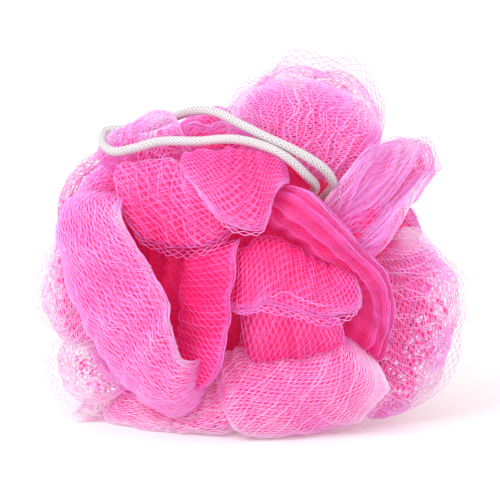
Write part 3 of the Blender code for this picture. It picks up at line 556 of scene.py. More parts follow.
class Surface:
    """A fold's two faces as one grid that goes up its front, round its rim and down its back.

    places and normals have a row for each step up and over, and a column for each step along the rim. height
    and length are the real distances, so that a net can be laid on it at its real size.
    """

    def __init__(self, fold, thickness, rows, columns, rim_inset=0.0, end_inset=0.0):
        rim = draw_in(ball_points(fold.rim, fold.turn, fold.tip), fold.dents)
        root = draw_in(ball_points(fold.root, fold.turn, fold.tip), fold.dents)
        self.length = line_length(rim * BALL_RADII)
        deep = np.linalg.norm((rim.mean(axis=0) - root.mean(axis=0)) * BALL_RADII)
        last = 1 - rim_inset / max(deep, 0.01) * (1 - ROOT_SHARE)
        margin = end_inset / self.length
        s = last - (last - NET_START) * (1 - np.linspace(0, 1, rows)) ** RIM_CROWDING
        t = np.linspace(margin, 1 - margin, columns)
        middle = self.middle(fold, rim, root, s, t)
        normals = self.normals_of(middle)
        beyond = np.clip((s - ROOT_SHARE) / (1 - ROOT_SHARE), 0, 1)[:, None]
        lift = self.lift(fold, beyond, t)
        middle = middle + normals * lift[..., None]
        rim_share = np.clip((s - last) / EDGE_ROUNDING + 1, 0, 1)[:, None]
        near_end = np.minimum(t - margin, 1 - margin - t)
        end_share = np.clip(1 - near_end / END_ROUNDING, 0, 1)[None, :]
        thick = np.sqrt(np.maximum(1 - rim_share**2, 0)) * np.sqrt(np.maximum(1 - end_share**2, 0))
        half = normals / BALL_RADII * (thickness / 2 * thick)[..., None]
        over = np.concatenate([middle + half, (middle - half)[-2::-1]])
        tuck = np.clip(1 - near_end / TUCK_SHARE, 0, 1) ** 2 * TUCK_DEPTH / BALL_RADII[0]
        self.places = to_size(over * (1 - tuck)[None, :, None])
        # painted light on crests and rims, painted shade in grooves and at the root
        painted_crests = CREST_PAINTED_LIGHT * np.clip(lift * BALL_RADII[0] / CREST_HEIGHT, -1, 1)
        faded = RIM_EVEN + fold.fade * (beyond - RIM_EVEN) + painted_crests
        self.shade = np.concatenate([faded, faded[-2::-1]])
        along = np.gradient(self.places, axis=1)
        up = np.gradient(self.places, axis=0)
        self.normals = unit_vectors(np.cross(up, along))
        outwards = (self.normals[:rows] * normals).sum(axis=-1).mean()
        if outwards < 0:
            self.normals = -self.normals
        steps = np.linalg.norm(np.diff(self.places, axis=0), axis=-1).mean(axis=1)
        self.heights = np.concatenate([[0.0], np.cumsum(steps)])
        self.margin = margin

    def middle(self, fold, rim, root, s, t):
        rim_at = smooth_curve(rim, even_knots(rim), t)
        root_at = smooth_curve(root, even_knots(root), t)
        inwards = unit_vectors(root_at + ANCHOR_LEAN * rim_at)
        anchor_at = inwards * ANCHOR_REACH / 100
        rows = smooth_curve(np.stack([anchor_at, root_at, rim_at]), np.array([0.0, ROOT_SHARE, 1.0]), s)
        beyond = np.clip((s - ROOT_SHARE) / (1 - ROOT_SHARE), 0, 1)
        return rows + unit_vectors(rows) * (fold.bulge / 100 * np.sin(np.pi * beyond))[:, None, None]

    def normals_of(self, middle):
        normals = unit_vectors(np.cross(np.gradient(middle, axis=0), np.gradient(middle, axis=1)))
        outwards = np.sign((normals * middle).sum(-1).mean())
        return normals * (outwards or 1.0)

    def lift(self, fold, beyond, t):
        """How far the fold's ruffle, pleats and fine gathers lift it, as a share of the ball's radius."""
        waves, height, phase = fold.ruffle
        lift = height / 100 * beyond * np.sin(2 * np.pi * (waves * t[None, :] + phase))
        waves, height, phase = fold.pleats
        lift = lift + height / 100 * np.sin(2 * np.pi * (waves * beyond + phase))
        gathers = self.length / GATHER_SPACING
        fade = GATHER_HEIGHT / BALL_RADII[0] * (1 - GATHER_FADE * beyond)
        bend, waves_along, waves_up = GATHER_BENDS
        wander = bend * np.sin(waves_along * t[None, :] + waves_up * beyond)
        lift = lift + fade * np.sin(2 * np.pi * (gathers * t[None, :] + wander))
        dice = random.Random(fold.name)
        for _ in range(WRINKLES):
            lean = dice.uniform(-WRINKLE_LEAN, WRINKLE_LEAN)
            waves = self.length / dice.uniform(*WRINKLE_SPACINGS)
            bend = dice.uniform(*WRINKLE_BENDS)
            bend = bend * np.sin(dice.uniform(*WRINKLE_WAVES) * t[None, :] + WRINKLE_RISE * beyond)
            crease = 1 - 2 * np.abs(np.sin(np.pi * (waves * (t[None, :] + lean * beyond) + bend)))
            lift = lift + WRINKLE_HEIGHT / BALL_RADII[0] * crease * beyond
        return lift

    def at(self, x, y):
        """Places, normals and shades at x along the rim and y up and over it, both in metres."""
        share = (x / self.length - self.margin) / (1 - 2 * self.margin)
        column = np.clip(share, 0, 1) * (self.places.shape[1] - 1)
        row = np.interp(y, self.heights, np.arange(len(self.heights)))
        i = np.minimum(row.astype(int), self.places.shape[0] - 2)
        j = np.minimum(column.astype(int), self.places.shape[1] - 2)
        v = (row - i)[:, None]
        u = (column - j)[:, None]

        def mixed(grid):
            low = grid[i, j] * (1 - u) + grid[i, j + 1] * u
            high = grid[i + 1, j] * (1 - u) + grid[i + 1, j + 1] * u
            return low * (1 - v) + high * v

        return mixed(self.places), unit_vectors(mixed(self.normals)), mixed(self.shade[..., None])[:, 0]


def directions(degrees):
    """Unit vectors along and across strands that lie at an angle to the rim."""
    along = np.array([math.cos(math.radians(degrees)), math.sin(math.radians(degrees))])
    return along, np.array([-along[1], along[0]])


def span(surface, last, direction):
    """The least and the most that a surface reaches in a direction, when it is cut off at last."""
    corners = np.array([[0, 0], [surface.length, 0], [0, last], [surface.length, last]])
    return (corners @ direction).min(), (corners @ direction).max()


def within(surface, last, x, y):
    return (x > 0) & (x < surface.length) & (y > 0) & (y < last)


def laid(surface, x, y, tone):
    """An unbroken strand through x and y on a surface, as places, normals, shades and tones."""
    return *surface.at(x, y), np.full(len(x), tone)


def net_strands(fold, surface, line, dice):
    """The strands on a fold, as a list of (places, normals, shades, tones), one for each unbroken run."""
    angle, pitch, loop, opened = fold.lay
    pitch = pitch / 1000
    loop = loop / 1000
    rim_height = surface.heights[len(surface.heights) // 2]
    last = rim_height + (surface.heights[-1] - rim_height) * BACK_SHARE
    along, across = directions(angle)
    left, right = span(surface, last, along)
    low, high = span(surface, last, across)
    first = math.floor(low / pitch)
    count = math.ceil((high - low) / pitch) + 2
    halves = 2 * math.ceil((right - left) / loop) + 2
    if pitch >= ROUND_PITCH:
        k = np.arange(2 * halves)
        half, twist = k // 2, k % 2 * TWIST_SHARE
    else:
        half, twist = np.arange(halves), 0.0
    u = left + (half / 2 + twist) * loop
    side = np.where(half % 2 == 0, 1.0, -1.0)
    waves = [
        (dice.uniform(0, math.pi), dice.uniform(*WAVE_SCALES), dice.uniform(0, LAST_PHASE))
        for _ in range(NET_WAVES)
    ]
    runs = []
    for i in range(first, first + count):
        v = np.full_like(u, i * pitch)
        uneven = slow_waves(u, v, waves)
        width = (pitch / 2 - STRAND_RADIUS * TURN_GAP) * opened
        width = width * (1 - OPENING_UNEVEN + OPENING_UNEVEN * uneven)
        stray = WANDER * slow_waves(u, WANDER_DRAWN * v, waves)
        v = v + (1 if i % 2 else -1) * side * width + stray
        x = u * along[0] + v * across[0]
        y = u * along[1] + v * across[1]
        inside = within(surface, last, x, y)
        edges = np.flatnonzero(np.diff(np.concatenate([[0], inside.astype(int), [0]])))
        for start, end in zip(edges[::2], edges[1::2]):
            if end - start >= 3:
                runs.append(laid(surface, x[start:end], y[start:end], fold.tone))
    runs += rim_strands(fold, surface, rim_height, waves)
    if fold.loose:
        runs += loose_strands(fold, surface, last, waves)
    if fold.fringe:
        runs += fringe_strands(fold, surface, rim_height, waves)
    gap = CORD_DIAMETER / 2 + STRAND_RADIUS + CORD_CLEARANCE
    pressed = clear_of_cord(np.concatenate([run[0] for run in runs]), line, gap, fold.over_cord)
    ends = np.cumsum([len(run[0]) for run in runs])[:-1]
    return [(places, *run[1:]) for places, run in zip(np.split(pressed, ends), runs)]


def rim_strands(fold, surface, rim_height, waves):
    """The strands that lie side by side along a fold's rim and close its edge."""
    x = np.arange(0.0, surface.length, RIM_STEP)
    count, spacing = fold.lip
    spacing = spacing / 1000
    runs = []
    for k in range(-count, count + 1):
        stray = LIP_WANDER * spacing * slow_waves(LIP_WAVES * x, np.full_like(x, k), waves)
        runs.append(laid(surface, x, rim_height + k * spacing + stray, fold.tone))
    return runs


def loose_strands(fold, surface, last, waves):
    """Single strands that cross a fold in slow curves, a little above its net."""
    angle, spacing = fold.loose
    along, across = directions(angle)
    u = np.arange(*span(surface, last, along), RIM_STEP)
    runs = []
    for start in np.arange(*span(surface, last, across), spacing / 1000):
        v = start + LOOSE_WANDER * slow_waves(LOOSE_WAVES * u, np.full_like(u, LOOSE_DRAWN * start), waves)
        x = u * along[0] + v * across[0]
        y = u * along[1] + v * across[1]
        inside = np.flatnonzero(within(surface, last, x, y))
        if len(inside) > 3:
            places, normals, *look = laid(surface, x[inside], y[inside], fold.tone + LOOSE_PALENESS)
            runs.append((places + normals * LOOSE_LIFT, normals, *look))
    return runs


def fringe_strands(fold, surface, rim_height, waves):
    """A thin strip of net that stands out beyond a fold's rim and grows from its two ends."""
    x = np.arange(0.0, surface.length, RIM_STEP)
    count, pitch = fold.fringe
    pitch = pitch / 1000
    rim, normals, *look = laid(surface, x, np.full_like(x, rim_height), fold.tone + LOOSE_PALENESS)
    inner = surface.at(x, np.full_like(x, rim_height - FRINGE_LEAN))[0]
    outwards = unit_vectors(unit_vectors(rim - inner) + unit_vectors(rim - to_size(np.zeros(3))))
    taper = np.sqrt(np.sin(np.pi * x / surface.length))
    side = np.where(np.arange(len(x)) % 2, 1.0, -1.0)
    runs = []
    for k in range(1, count + 1):
        uneven = slow_waves(x, np.full_like(x, FRINGE_DRAWN * k * pitch), waves)
        swing = FRINGE_WAVE if k % 2 else -FRINGE_WAVE
        height = taper * pitch * (k * (1 + FRINGE_UNEVEN * uneven) + swing * side)
        places = rim + outwards * height[:, None] + normals * (FRINGE_SWAY * height * uneven)[:, None]
        runs.append((places, normals, *look))
    return runs


def slow_waves(x, y, waves):
    """Smooth unevenness from -1 to 1, from a few (direction, scale, phase) waves of about NET_WANDER long."""
    total = 0.0
    for direction, scale, phase in waves:
        forward = x * math.cos(direction) + y * math.sin(direction)
        total = total + np.sin(forward * WAVE_TURN / NET_WANDER * scale + phase)
    return total / len(waves)


def clear_of_cord(places, line, gap, over):
    """Lays the places under the cord, which presses into the net, or over its far leg."""
    tree = KDTree(len(line))
    for i, point in enumerate(line):
        tree.insert(point, i)
    tree.balance()
    centre = to_size(np.zeros(3))
    low = line.min(axis=0) - CORD_PRESS
    high = line.max(axis=0) + CORD_PRESS
    near = np.flatnonzero(((places > low) & (places < high)).all(axis=1))
    moved = places.copy()
    for index in near:
        nearest, place_along, _ = tree.find(places[index])
        nearest = np.array(nearest)
        outwards = unit_vectors(nearest - centre)
        away = places[index] - nearest
        height = away @ outwards
        beside = np.linalg.norm(away - outwards * height)
        if abs(height) > CORD_PRESS or beside > CORD_PRESS:
            continue
        round_cord = math.sqrt(max(gap**2 - beside**2, 0.0))
        if over and place_along > len(line) / 2:
            wanted = max(height, round_cord)
        else:
            wanted = min(height, max(beside - gap, 0.0) * PRESS_SLOPE - round_cord)
        moved[index] += outwards * (wanted - height)
    return moved


def strands_mesh(name, runs):
    """One mesh of closed, three-sided strands along the runs, with a shade and a tone for each point."""
    places, normals, shades, tones = (np.concatenate(arrays) for arrays in zip(*runs))
    places[:, 2] = np.maximum(places[:, 2], 2 * STRAND_RADIUS)
    lengths = np.array([len(run[0]) for run in runs])
    starts = np.concatenate([[0], np.cumsum(lengths)[:-1]])
    ends = starts + lengths - 1
    ahead = np.arange(len(places)) + 1
    ahead[ends] = ends
    behind = np.arange(len(places)) - 1
    behind[starts] = starts
    tangents = unit_vectors(places[ahead] - places[behind])
    sideways = unit_vectors(np.cross(tangents, normals))
    outwards = np.cross(sideways, tangents)
    rings = []
    for corner in range(3):
        angle = math.radians(90 + 120 * corner)
        rings.append(places + STRAND_RADIUS * (outwards * math.sin(angle) + sideways * math.cos(angle)))
    verts = np.stack(rings, axis=1).reshape(-1, 3)
    inner = np.setdiff1d(np.arange(len(places)), ends)
    quads = []
    for corner in range(3):
        following = (corner + 1) % 3
        here, there = inner * 3, inner * 3 + 3
        quads.append(np.stack([here + corner, here + following, there + following, there + corner], axis=1))
    caps = [starts[:, None] * 3 + np.array([2, 1, 0]), ends[:, None] * 3 + np.array([0, 1, 2])]
    look = {"shade": np.repeat(shades, 3), "tone": np.repeat(tones, 3)}
    return mesh_object(name, verts, np.concatenate(quads), np.concatenate(caps), look)


def mesh_object(name, verts, quads, triangles=None, values=None, uvs=None):
    """A smooth-shaded mesh object from arrays, with point values and a UV map for each face's corners."""
    triangles = np.zeros((0, 3), int) if triangles is None else triangles
    corners = np.concatenate([quads.ravel(), triangles.ravel()])
    starts = np.concatenate([np.arange(len(quads)) * 4, len(quads) * 4 + np.arange(len(triangles)) * 3])
    mesh = bpy.data.meshes.new(name)
    mesh.vertices.add(len(verts))
    mesh.vertices.foreach_set("co", verts.ravel())
    mesh.loops.add(len(corners))
    mesh.loops.foreach_set("vertex_index", corners)
    mesh.polygons.add(len(starts))
    mesh.polygons.foreach_set("loop_start", starts)
    mesh.update(calc_edges=True)
    mesh.validate()
    for key, numbers in (values or {}).items():
        mesh.attributes.new(key, "FLOAT", "POINT").data.foreach_set("value", numbers)
    if uvs is not None:
        layer = mesh.uv_layers.new(name="net_lay")
        layer.data.foreach_set("uv", uvs[corners].ravel())
    mesh.shade_smooth()
    obj = bpy.data.objects.new(name, mesh)
    bpy.context.scene.collection.objects.link(obj)
    return obj


def layer_arrays(fold, line):
    """A fold's lower layers of net, one closed sheet in its strands: verts, quads, UVs and values."""
    thickness = FOLD_THICKNESS - 2 * LAYER_DEPTH
    surface = Surface(fold, thickness, LAYER_ROWS, LAYER_COLUMNS, rim_inset=RIM_INSET, end_inset=END_INSET)
    rows, columns = surface.places.shape[:2]
    grid = np.arange(rows * columns).reshape(rows, columns)
    back = slice(rows // 2 + 1, None)
    for end in (0, -1):
        grid[back, end] = grid[::-1][back, end]
    quads = [
        np.stack([grid[:-1, :-1], grid[:-1, 1:], grid[1:, 1:], grid[1:, :-1]], axis=-1).reshape(-1, 4),
        np.stack([grid[0, 1:], grid[0, :-1], grid[-1, :-1], grid[-1, 1:]], axis=-1),
    ]
    quads = np.concatenate(quads)
    along, across = directions(fold.lay[0] + LAYER_TURN)
    x, y = np.meshgrid(np.linspace(0, surface.length, columns), surface.heights)
    uvs = np.stack([x * along[0] + y * along[1], x * across[0] + y * across[1]], axis=-1) * 1000
    rim_height = surface.heights[rows // 2]
    from_rim = np.minimum(np.abs(y - rim_height), np.minimum(x, surface.length - x))
    opened, filled = (fold.veil * distance for distance in SEE_THROUGH)
    filling = np.clip((from_rim - opened) / max(filled - opened, 1e-4), 0, 1).ravel()
    covers = filling * (1 - OPEN_SHARE * max(fold.veil - CLOSED_VEIL, 0.0) / (1 - CLOSED_VEIL))
    gap = CORD_DIAMETER / 2 + 2 * (STRAND_RADIUS + CORD_CLEARANCE)
    verts = clear_of_cord(surface.places.reshape(-1, 3), line, gap, fold.over_cord)
    values = {"shade": surface.shade.ravel(), "cover": covers, "tone": np.full(len(verts), fold.tone)}
    return verts, quads, uvs.reshape(-1, 2), values


def layers_object(name, folds, line):
    """The lower layers of several folds as one object."""
    verts, quads, uvs, values = zip(*(layer_arrays(fold, line) for fold in folds))
    offsets = np.cumsum([0] + [len(points) for points in verts])
    quads = np.concatenate([faces + offset for faces, offset in zip(quads, offsets)])
    values = {key: np.concatenate([part[key] for part in values]) for key in values[0]}
    obj = mesh_object(name, np.concatenate(verts), quads, None, values, np.concatenate(uvs))
    keep_used_points(obj)
    return obj


def keep_used_points(obj):
    """Drops the doubled points along the folds' ends and turns every shell's faces outwards."""
    work = bmesh.new()
    work.from_mesh(obj.data)
    loose = [vert for vert in work.verts if not vert.link_faces]
    bmesh.ops.delete(work, geom=loose, context="VERTS")
    bmesh.ops.recalc_face_normals(work, faces=work.faces)
    work.to_mesh(obj.data)
    work.free()


def waist_frame():
    """The waist's own frame: its origin in the ball's middle, and Z along the way out of the cord's legs."""
    middle = Vector(to_size(np.zeros((1, 3)))[0])
    aim = Vector(to_size(ball_points([WAIST_AIM], 0, FACE_TIP))[0])
    out = (aim - middle).normalized()
    side = (Vector((1, 0, 0)) - out * out.x).normalized()
    placed = Matrix((side, out.cross(side), out)).transposed().to_4x4()
    placed.translation = middle
    return placed


def cord_line():
    """The hanging cord's middle line, close enough together to carry its braid."""
    placed = waist_frame()
    route = [Vector(p) for p in to_size(ball_points(CORD_ROUTE, 0, FACE_TIP))]
    spacing = CORD_DIAMETER + 4 * SEAT_GAP
    start = -TIE_TURNS * TIE_DIAMETER / 2
    steps = np.linspace(start, LEG_LENGTH, LEG_POINTS)
    first_leg = [placed @ Vector((-spacing / 2, 0, along)) for along in steps]
    last_leg = [placed @ Vector((spacing / 2, 0, along)) for along in reversed(steps)]
    points = np.array([*first_leg, *route, *last_leg])
    knots = even_knots(points)
    samples = np.linspace(0, 1, LINE_SAMPLES)
    travelled = even_knots(smooth_curve(points, knots, samples))
    count = round(line_length(points) / BRAID_STEP) + 1
    even = np.interp(np.linspace(0, 1, count), travelled, samples)
    return smooth_curve(points, knots, even)


def braid_relief(around, along):
    """How far a braid's surface stands out, from 0 to 1, at an angle around and a distance along the cord."""
    turned = BRAID_YARNS * around / (2 * math.pi)
    passed = along / BRAID_PITCH * BRAID_YARNS
    p, q = turned + passed, turned - passed
    over = (np.floor(p) + np.floor(q)) % 2 == 0
    across = np.where(over, p, q) % 1.0
    lengthwise = np.where(over, q, p) % 1.0
    return np.sqrt(np.sin(np.pi * across)) * (1 - BRAID_CROWN + BRAID_CROWN * np.sin(np.pi * lengthwise))


def cord_mesh(line):
    """The braided cord: a tube whose surface rises and falls with its crossing yarns."""
    tangents = unit_vectors(np.gradient(line, axis=0))
    side = unit_vectors(np.cross(tangents[0], BRAID_SIDE))
    sides = []
    for tangent in tangents:
        side = side - tangent * (side @ tangent)
        side = side / np.linalg.norm(side)
        sides.append(side)
    sides = np.array(sides)
    ups = np.cross(tangents, sides)
    around = np.linspace(0, 2 * math.pi, BRAID_SIDES, endpoint=False)[None, :]
    along = np.arange(len(line))[:, None] * BRAID_STEP
    radius = CORD_DIAMETER / 2 - BRAID_DEPTH * (1 - braid_relief(around, along))
    rings = line[:, None] + radius[..., None] * (
        sides[:, None] * np.cos(around)[..., None] + ups[:, None] * np.sin(around)[..., None]
    )
    rows, columns = radius.shape
    grid = np.arange(rows * columns).reshape(rows, columns)
    turned = np.roll(grid, -1, axis=1)
    quads = np.stack([grid[:-1], turned[:-1], turned[1:], grid[1:]], axis=-1).reshape(-1, 4)
    verts = np.concatenate([rings.reshape(-1, 3), line[[0, -1]]])
    start, end = rows * columns, rows * columns + 1
    caps = [(start, b, a) for a, b in zip(grid[0], turned[0])]
    caps += [(end, a, b) for a, b in zip(grid[-1], turned[-1])]
    relief = np.append(braid_relief(around, along).ravel(), [0.0, 0.0])
    obj = mesh_object("hanging_cord_braid", verts, quads, np.array(caps), {"relief": relief})
    keep_used_points(obj)
    return obj


class Nodes:
    """Short ways to add a material's nodes and link them."""

    def __init__(self, name):
        self.material = bpy.data.materials.new(name)
        self.material.use_nodes = True
        self.tree = self.material.node_tree
        self.shader = self.tree.nodes["Principled BSDF"]

    def add(self, kind, links=(), **settings):
        node = self.tree.nodes.new(kind)
        for key, value in settings.items():
            setattr(node, key, value)
        for socket, value in dict(links).items():
            if isinstance(value, bpy.types.NodeSocket):
                self.tree.links.new(value, node.inputs[socket])
            else:
                node.inputs[socket].default_value = value
        return node

    def attribute(self, name):
        return self.add("ShaderNodeAttribute", attribute_name=name).outputs["Fac"]

    def place(self):
        return self.add("ShaderNodeTexCoord").outputs["Object"]

    def noise(self, scale, detail):
        links = {"Vector": self.place(), "Scale": scale, "Detail": detail}
        return self.add("ShaderNodeTexNoise", links).outputs["Fac"]

    def bump(self, height, strength, distance):
        links = {"Height": height, "Strength": strength, "Distance": distance}
        return self.add("ShaderNodeBump", links).outputs[0]

    def math(self, operation, first, second=0.0, third=0.0):
        node = self.add("ShaderNodeMath", {0: first, 1: second, 2: third}, operation=operation)
        return node.outputs[0]

    def ramp(self, value, stops):
        node = self.add("ShaderNodeValToRGB", {"Fac": value})
        elements = node.color_ramp.elements
        while len(elements) < len(stops):
            elements.new(0.5)
        for element, (position, colour) in zip(elements, stops):
            element.position = position
            element.color = (*colour, 1.0)
        return node.outputs["Color"]

    def mix(self, share, first, second):
        node = self.add("ShaderNodeMix", data_type="RGBA")
        for socket, value in ((node.inputs[0], share), (node.inputs[6], first), (node.inputs[7], second)):
            if isinstance(value, bpy.types.NodeSocket):
                self.tree.links.new(value, socket)
            else:
                socket.default_value = value if isinstance(value, float) else (*value, 1.0)
        return node.outputs[2]

    def finish(self, **values):
        for key, value in values.items():
            socket = self.shader.inputs[key.replace("_", " ")]
            if isinstance(value, bpy.types.NodeSocket):
                self.tree.links.new(value, socket)
            else:
                socket.default_value = value
        return self.material


def net_light(nodes, spread):
    """How pale the net is painted: its fold's tone, painted light towards the rim, and uneven all over."""
    high = nodes.math("MULTIPLY_ADD", nodes.attribute("shade"), RIM_PAINTED_LIGHT, -RIM_PAINTED_LIGHT * RIM_EVEN)
    uneven = nodes.math("MULTIPLY_ADD", nodes.noise(scale=45.0, detail=2.0), 2 * spread, -spread)
    return nodes.math("ADD", nodes.math("ADD", nodes.attribute("tone"), high), uneven)


def strand_material(colours):
    """Knitted nylon strand: glossy pink, painted deeper towards the middle of the sponge as shade."""
    nodes = Nodes("net_strand")
    # painted light: the strands are paler than their fold
    value = nodes.math("ADD", net_light(nodes, STRAND_UNEVEN), STRAND_LIGHT_LAYER_SHADE)
    stops = [(0.0, colours.deep), (0.4, colours.middle), (0.8, colours.rim), (1.0, colours.veil)]
    colour = nodes.ramp(nodes.math("MULTIPLY", value, 1 / PALEST), stops)
    return nodes.finish(
        Base_Color=colour,
        Roughness=0.42,
        Subsurface_Weight=1.0,
        Subsurface_Radius=GLOW_RADII,
        Subsurface_Scale=STRAND_GLOW_DEPTH,
        # painted glow: emission, partly in the strand's own colour
        Emission_Color=nodes.mix(PAINTED_GLOW_OWN, colours.painted_glow, colour),
        Emission_Strength=STRAND_GLOW,
    )


def layer_material(colours):
    """The layers of net under the outermost strands, drawn as eye-shaped loops, some of them open."""
    nodes = Nodes("net_layers")
    # painted shade: the layers under the strands are deeper than their fold
    value = nodes.math("SUBTRACT", net_light(nodes, LAYER_UNEVEN), STRAND_LIGHT_LAYER_SHADE)
    # the holes between drawn threads are painted deeper, as the shade inside the net
    ground_shade = nodes.ramp(value, [(0.0, colours.gap), (0.8, colours.deep), (1.0, colours.middle)])
    thread = nodes.ramp(value, [(0.0, colours.deep), (0.5, colours.middle), (1.0, colours.rim)])
    lay = nodes.add("ShaderNodeUVMap", uv_map="net_lay").outputs["UV"]
    split = nodes.add("ShaderNodeSeparateXYZ", {0: lay})
    along = nodes.math("MULTIPLY", split.outputs[0], 1 / DRAWN_LOOP)
    across = nodes.math("MULTIPLY", split.outputs[1], 0.5 / DRAWN_PITCH)
    rising = nodes.math("ADD", along, across)
    falling = nodes.math("SUBTRACT", along, across)
    nearest = nodes.math("MINIMUM", nodes.math("PINGPONG", rising, 0.5), nodes.math("PINGPONG", falling, 0.5))
    solid, clear = DRAWN_EDGE
    edge = nodes.add("ShaderNodeMapRange", {0: nearest, 1: solid, 2: clear, 3: 1.0, 4: 0.0}).outputs[0]
    cover = nodes.attribute("cover")
    corner = {0: nodes.math("FLOOR", rising), 1: nodes.math("FLOOR", falling)}
    cell = nodes.add("ShaderNodeCombineXYZ", corner)
    chance = nodes.add("ShaderNodeTexWhiteNoise", {"Vector": cell.outputs[0]}, noise_dimensions="2D")
    closed = nodes.math("LESS_THAN", chance.outputs["Value"], cover)
    drawn = nodes.math("MULTIPLY", edge, nodes.math("MULTIPLY", cover, EDGE_COVER))
    return nodes.finish(
        Base_Color=nodes.mix(edge, ground_shade, thread),
        Roughness=0.6,
        Normal=nodes.bump(edge, strength=0.4, distance=0.0003),
        Alpha=nodes.math("MAXIMUM", closed, nodes.math("MINIMUM", drawn, 1.0)),
        Subsurface_Weight=0.6,
        Subsurface_Radius=GLOW_RADII,
        Subsurface_Scale=GLOW_DEPTH,
        # painted glow: a faint red emission
        Emission_Color=(*colours.painted_glow, 1.0),
        Emission_Strength=PAINTED_GLOW_STRENGTH,
    )


def cord_material(colours):
    """Braided cord: white yarns, with painted grey shade in the grooves between them, and fine fibres all
    over.
    """
    nodes = Nodes("cord_braid")
    colour = nodes.ramp(nodes.attribute("relief"), [(0.2, colours.groove_shade), (0.8, colours.cord)])
    fibres = nodes.bump(nodes.noise(scale=2600.0, detail=1.0), strength=0.35, distance=0.00015)
    return nodes.finish(Base_Color=colour, Roughness=0.75, Normal=fibres)


def tie_material(colours):
    """Twisted string, with strands that wind along it and painted shade between them."""
    nodes = Nodes("tie_string")
    links = {"Vector": nodes.place(), "Scale": 900.0, "Distortion": 2.0}
    twist = nodes.add("ShaderNodeTexWave", links).outputs["Fac"]
    colour = nodes.mix(twist, colours.groove_shade, colours.cord)
    relief = nodes.bump(twist, strength=0.4, distance=0.0002)
    return nodes.finish(Base_Color=colour, Roughness=0.8, Normal=relief)


def floor_material(colour, lift):
    """Matt white paper that keeps the sponge's shadow, lifted to white where the camera sees it."""
    nodes = Nodes("studio_paper")
    seen = nodes.add("ShaderNodeLightPath")
    rays = nodes.math("MAXIMUM", seen.outputs["Is Camera Ray"], seen.outputs["Is Glossy Ray"])
    rays = nodes.math("MAXIMUM", rays, seen.outputs["Is Transmission Ray"])
    return nodes.finish(
        Base_Color=(*colour, 1.0),
        Roughness=0.9,
        Specular_IOR_Level=0.0,
        Normal=nodes.bump(nodes.noise(scale=900.0, detail=3.0), strength=0.05, distance=0.0001),
        Emission_Color=(1.0, 1.0, 1.0, 1.0),
        Emission_Strength=nodes.math("MULTIPLY", rays, lift),
    )


def colour_property(name, description, default):
    return FloatVectorProperty(
        name=name, description=description, subtype="COLOR", size=3, min=0.0, max=1.0, default=default
    )


def number_property(name, description, default, **kind):
    return FloatProperty(name=name, description=description, default=default, **kind)


class NetSettings(PropertyGroup):
    """The colours of the net, painted from shade deep in the gaps between folds to light at their rims."""

    # gap and deep are colours of painted shade, rim is a colour of painted light
    gap: colour_property("Gap", "Colour deep between the folds", (0.92, 0.006, 0.13))
    deep: colour_property("Deep", "Colour near the folds' roots", (0.85, 0.038, 0.28))
    middle: colour_property("Middle", "Colour half way up a fold", (0.87, 0.175, 0.58))
    rim: colour_property("Rim", "Colour at the folds' rims", (0.98, 0.41, 0.86))
    veil: colour_property("Veil", "Colour of single strands over nothing", (1.0, 0.66, 0.90))
    # painted glow: the colour of the emission that stands in for light inside the net
    painted_glow: colour_property("Glow", "Colour of the light inside the net", (1.0, 0.03, 0.22))


class CordSettings(PropertyGroup):
    """The colours of the hanging cord."""

    # grey-white yarns, with a faint pink that is painted light bounced off the net
    cord: colour_property("Cord", "Colour of the cord's yarns", (0.78, 0.735, 0.75))
    # painted shade between the cord's yarns and in the tie's twist
    groove_shade: colour_property("Groove", "Colour between the cord's yarns", (0.40, 0.33, 0.36))


class StageSettings(PropertyGroup):
    """The studio: its floor, its lamps and its camera."""

    floor: colour_property("Floor", "Colour of the floor", (0.80, 0.80, 0.80))
    lift: number_property("Lift", "How much the floor is lifted to white in view", 0.24)
    world: number_property("Surround", "Strength of the light from all around", 1.0)
    key: number_property("Key lamp", "Power of the large lamp", 4.0, unit="POWER")
    fill: number_property("Fill lamp", "Power of the small lamp", 1.0, unit="POWER")
    distance: number_property("Camera distance", "From the camera to the sponge", 1.4, unit="LENGTH")
    elevation: number_property("Camera height", "Above the horizon", math.radians(10), subtype="ANGLE")
    view_width: number_property("Width in view", "At the sponge", 0.1575, unit="LENGTH")


def give(obj, material):
    """Finishes a piece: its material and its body."""
    obj.data.materials.clear()
    obj.data.materials.append(material)
    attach(obj, "root")


class SPONGE_OT_cord(Operator):
    """Adds the braided hanging cord"""

    bl_idname = "sponge.cord"
    bl_label = "Hanging Cord"

    def execute(self, context):
        line = cord_line()
        cord = cord_mesh(line)
        give(cord, cord_material(context.scene.sponge_cord))
        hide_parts("hanging_cord")
        return {"FINISHED"}


class SPONGE_OT_waist(Operator):
    """Finishes the knot and the tie in the sponge's middle"""

    bl_idname = "sponge.waist"
    bl_label = "Knot and Tie"

    def execute(self, context):
        for name in ("cord_knot", "waist_tie"):
            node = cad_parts[name]
            node.data.materials.clear()
            node.data.materials.append(tie_material(context.scene.sponge_cord))
        return {"FINISHED"}


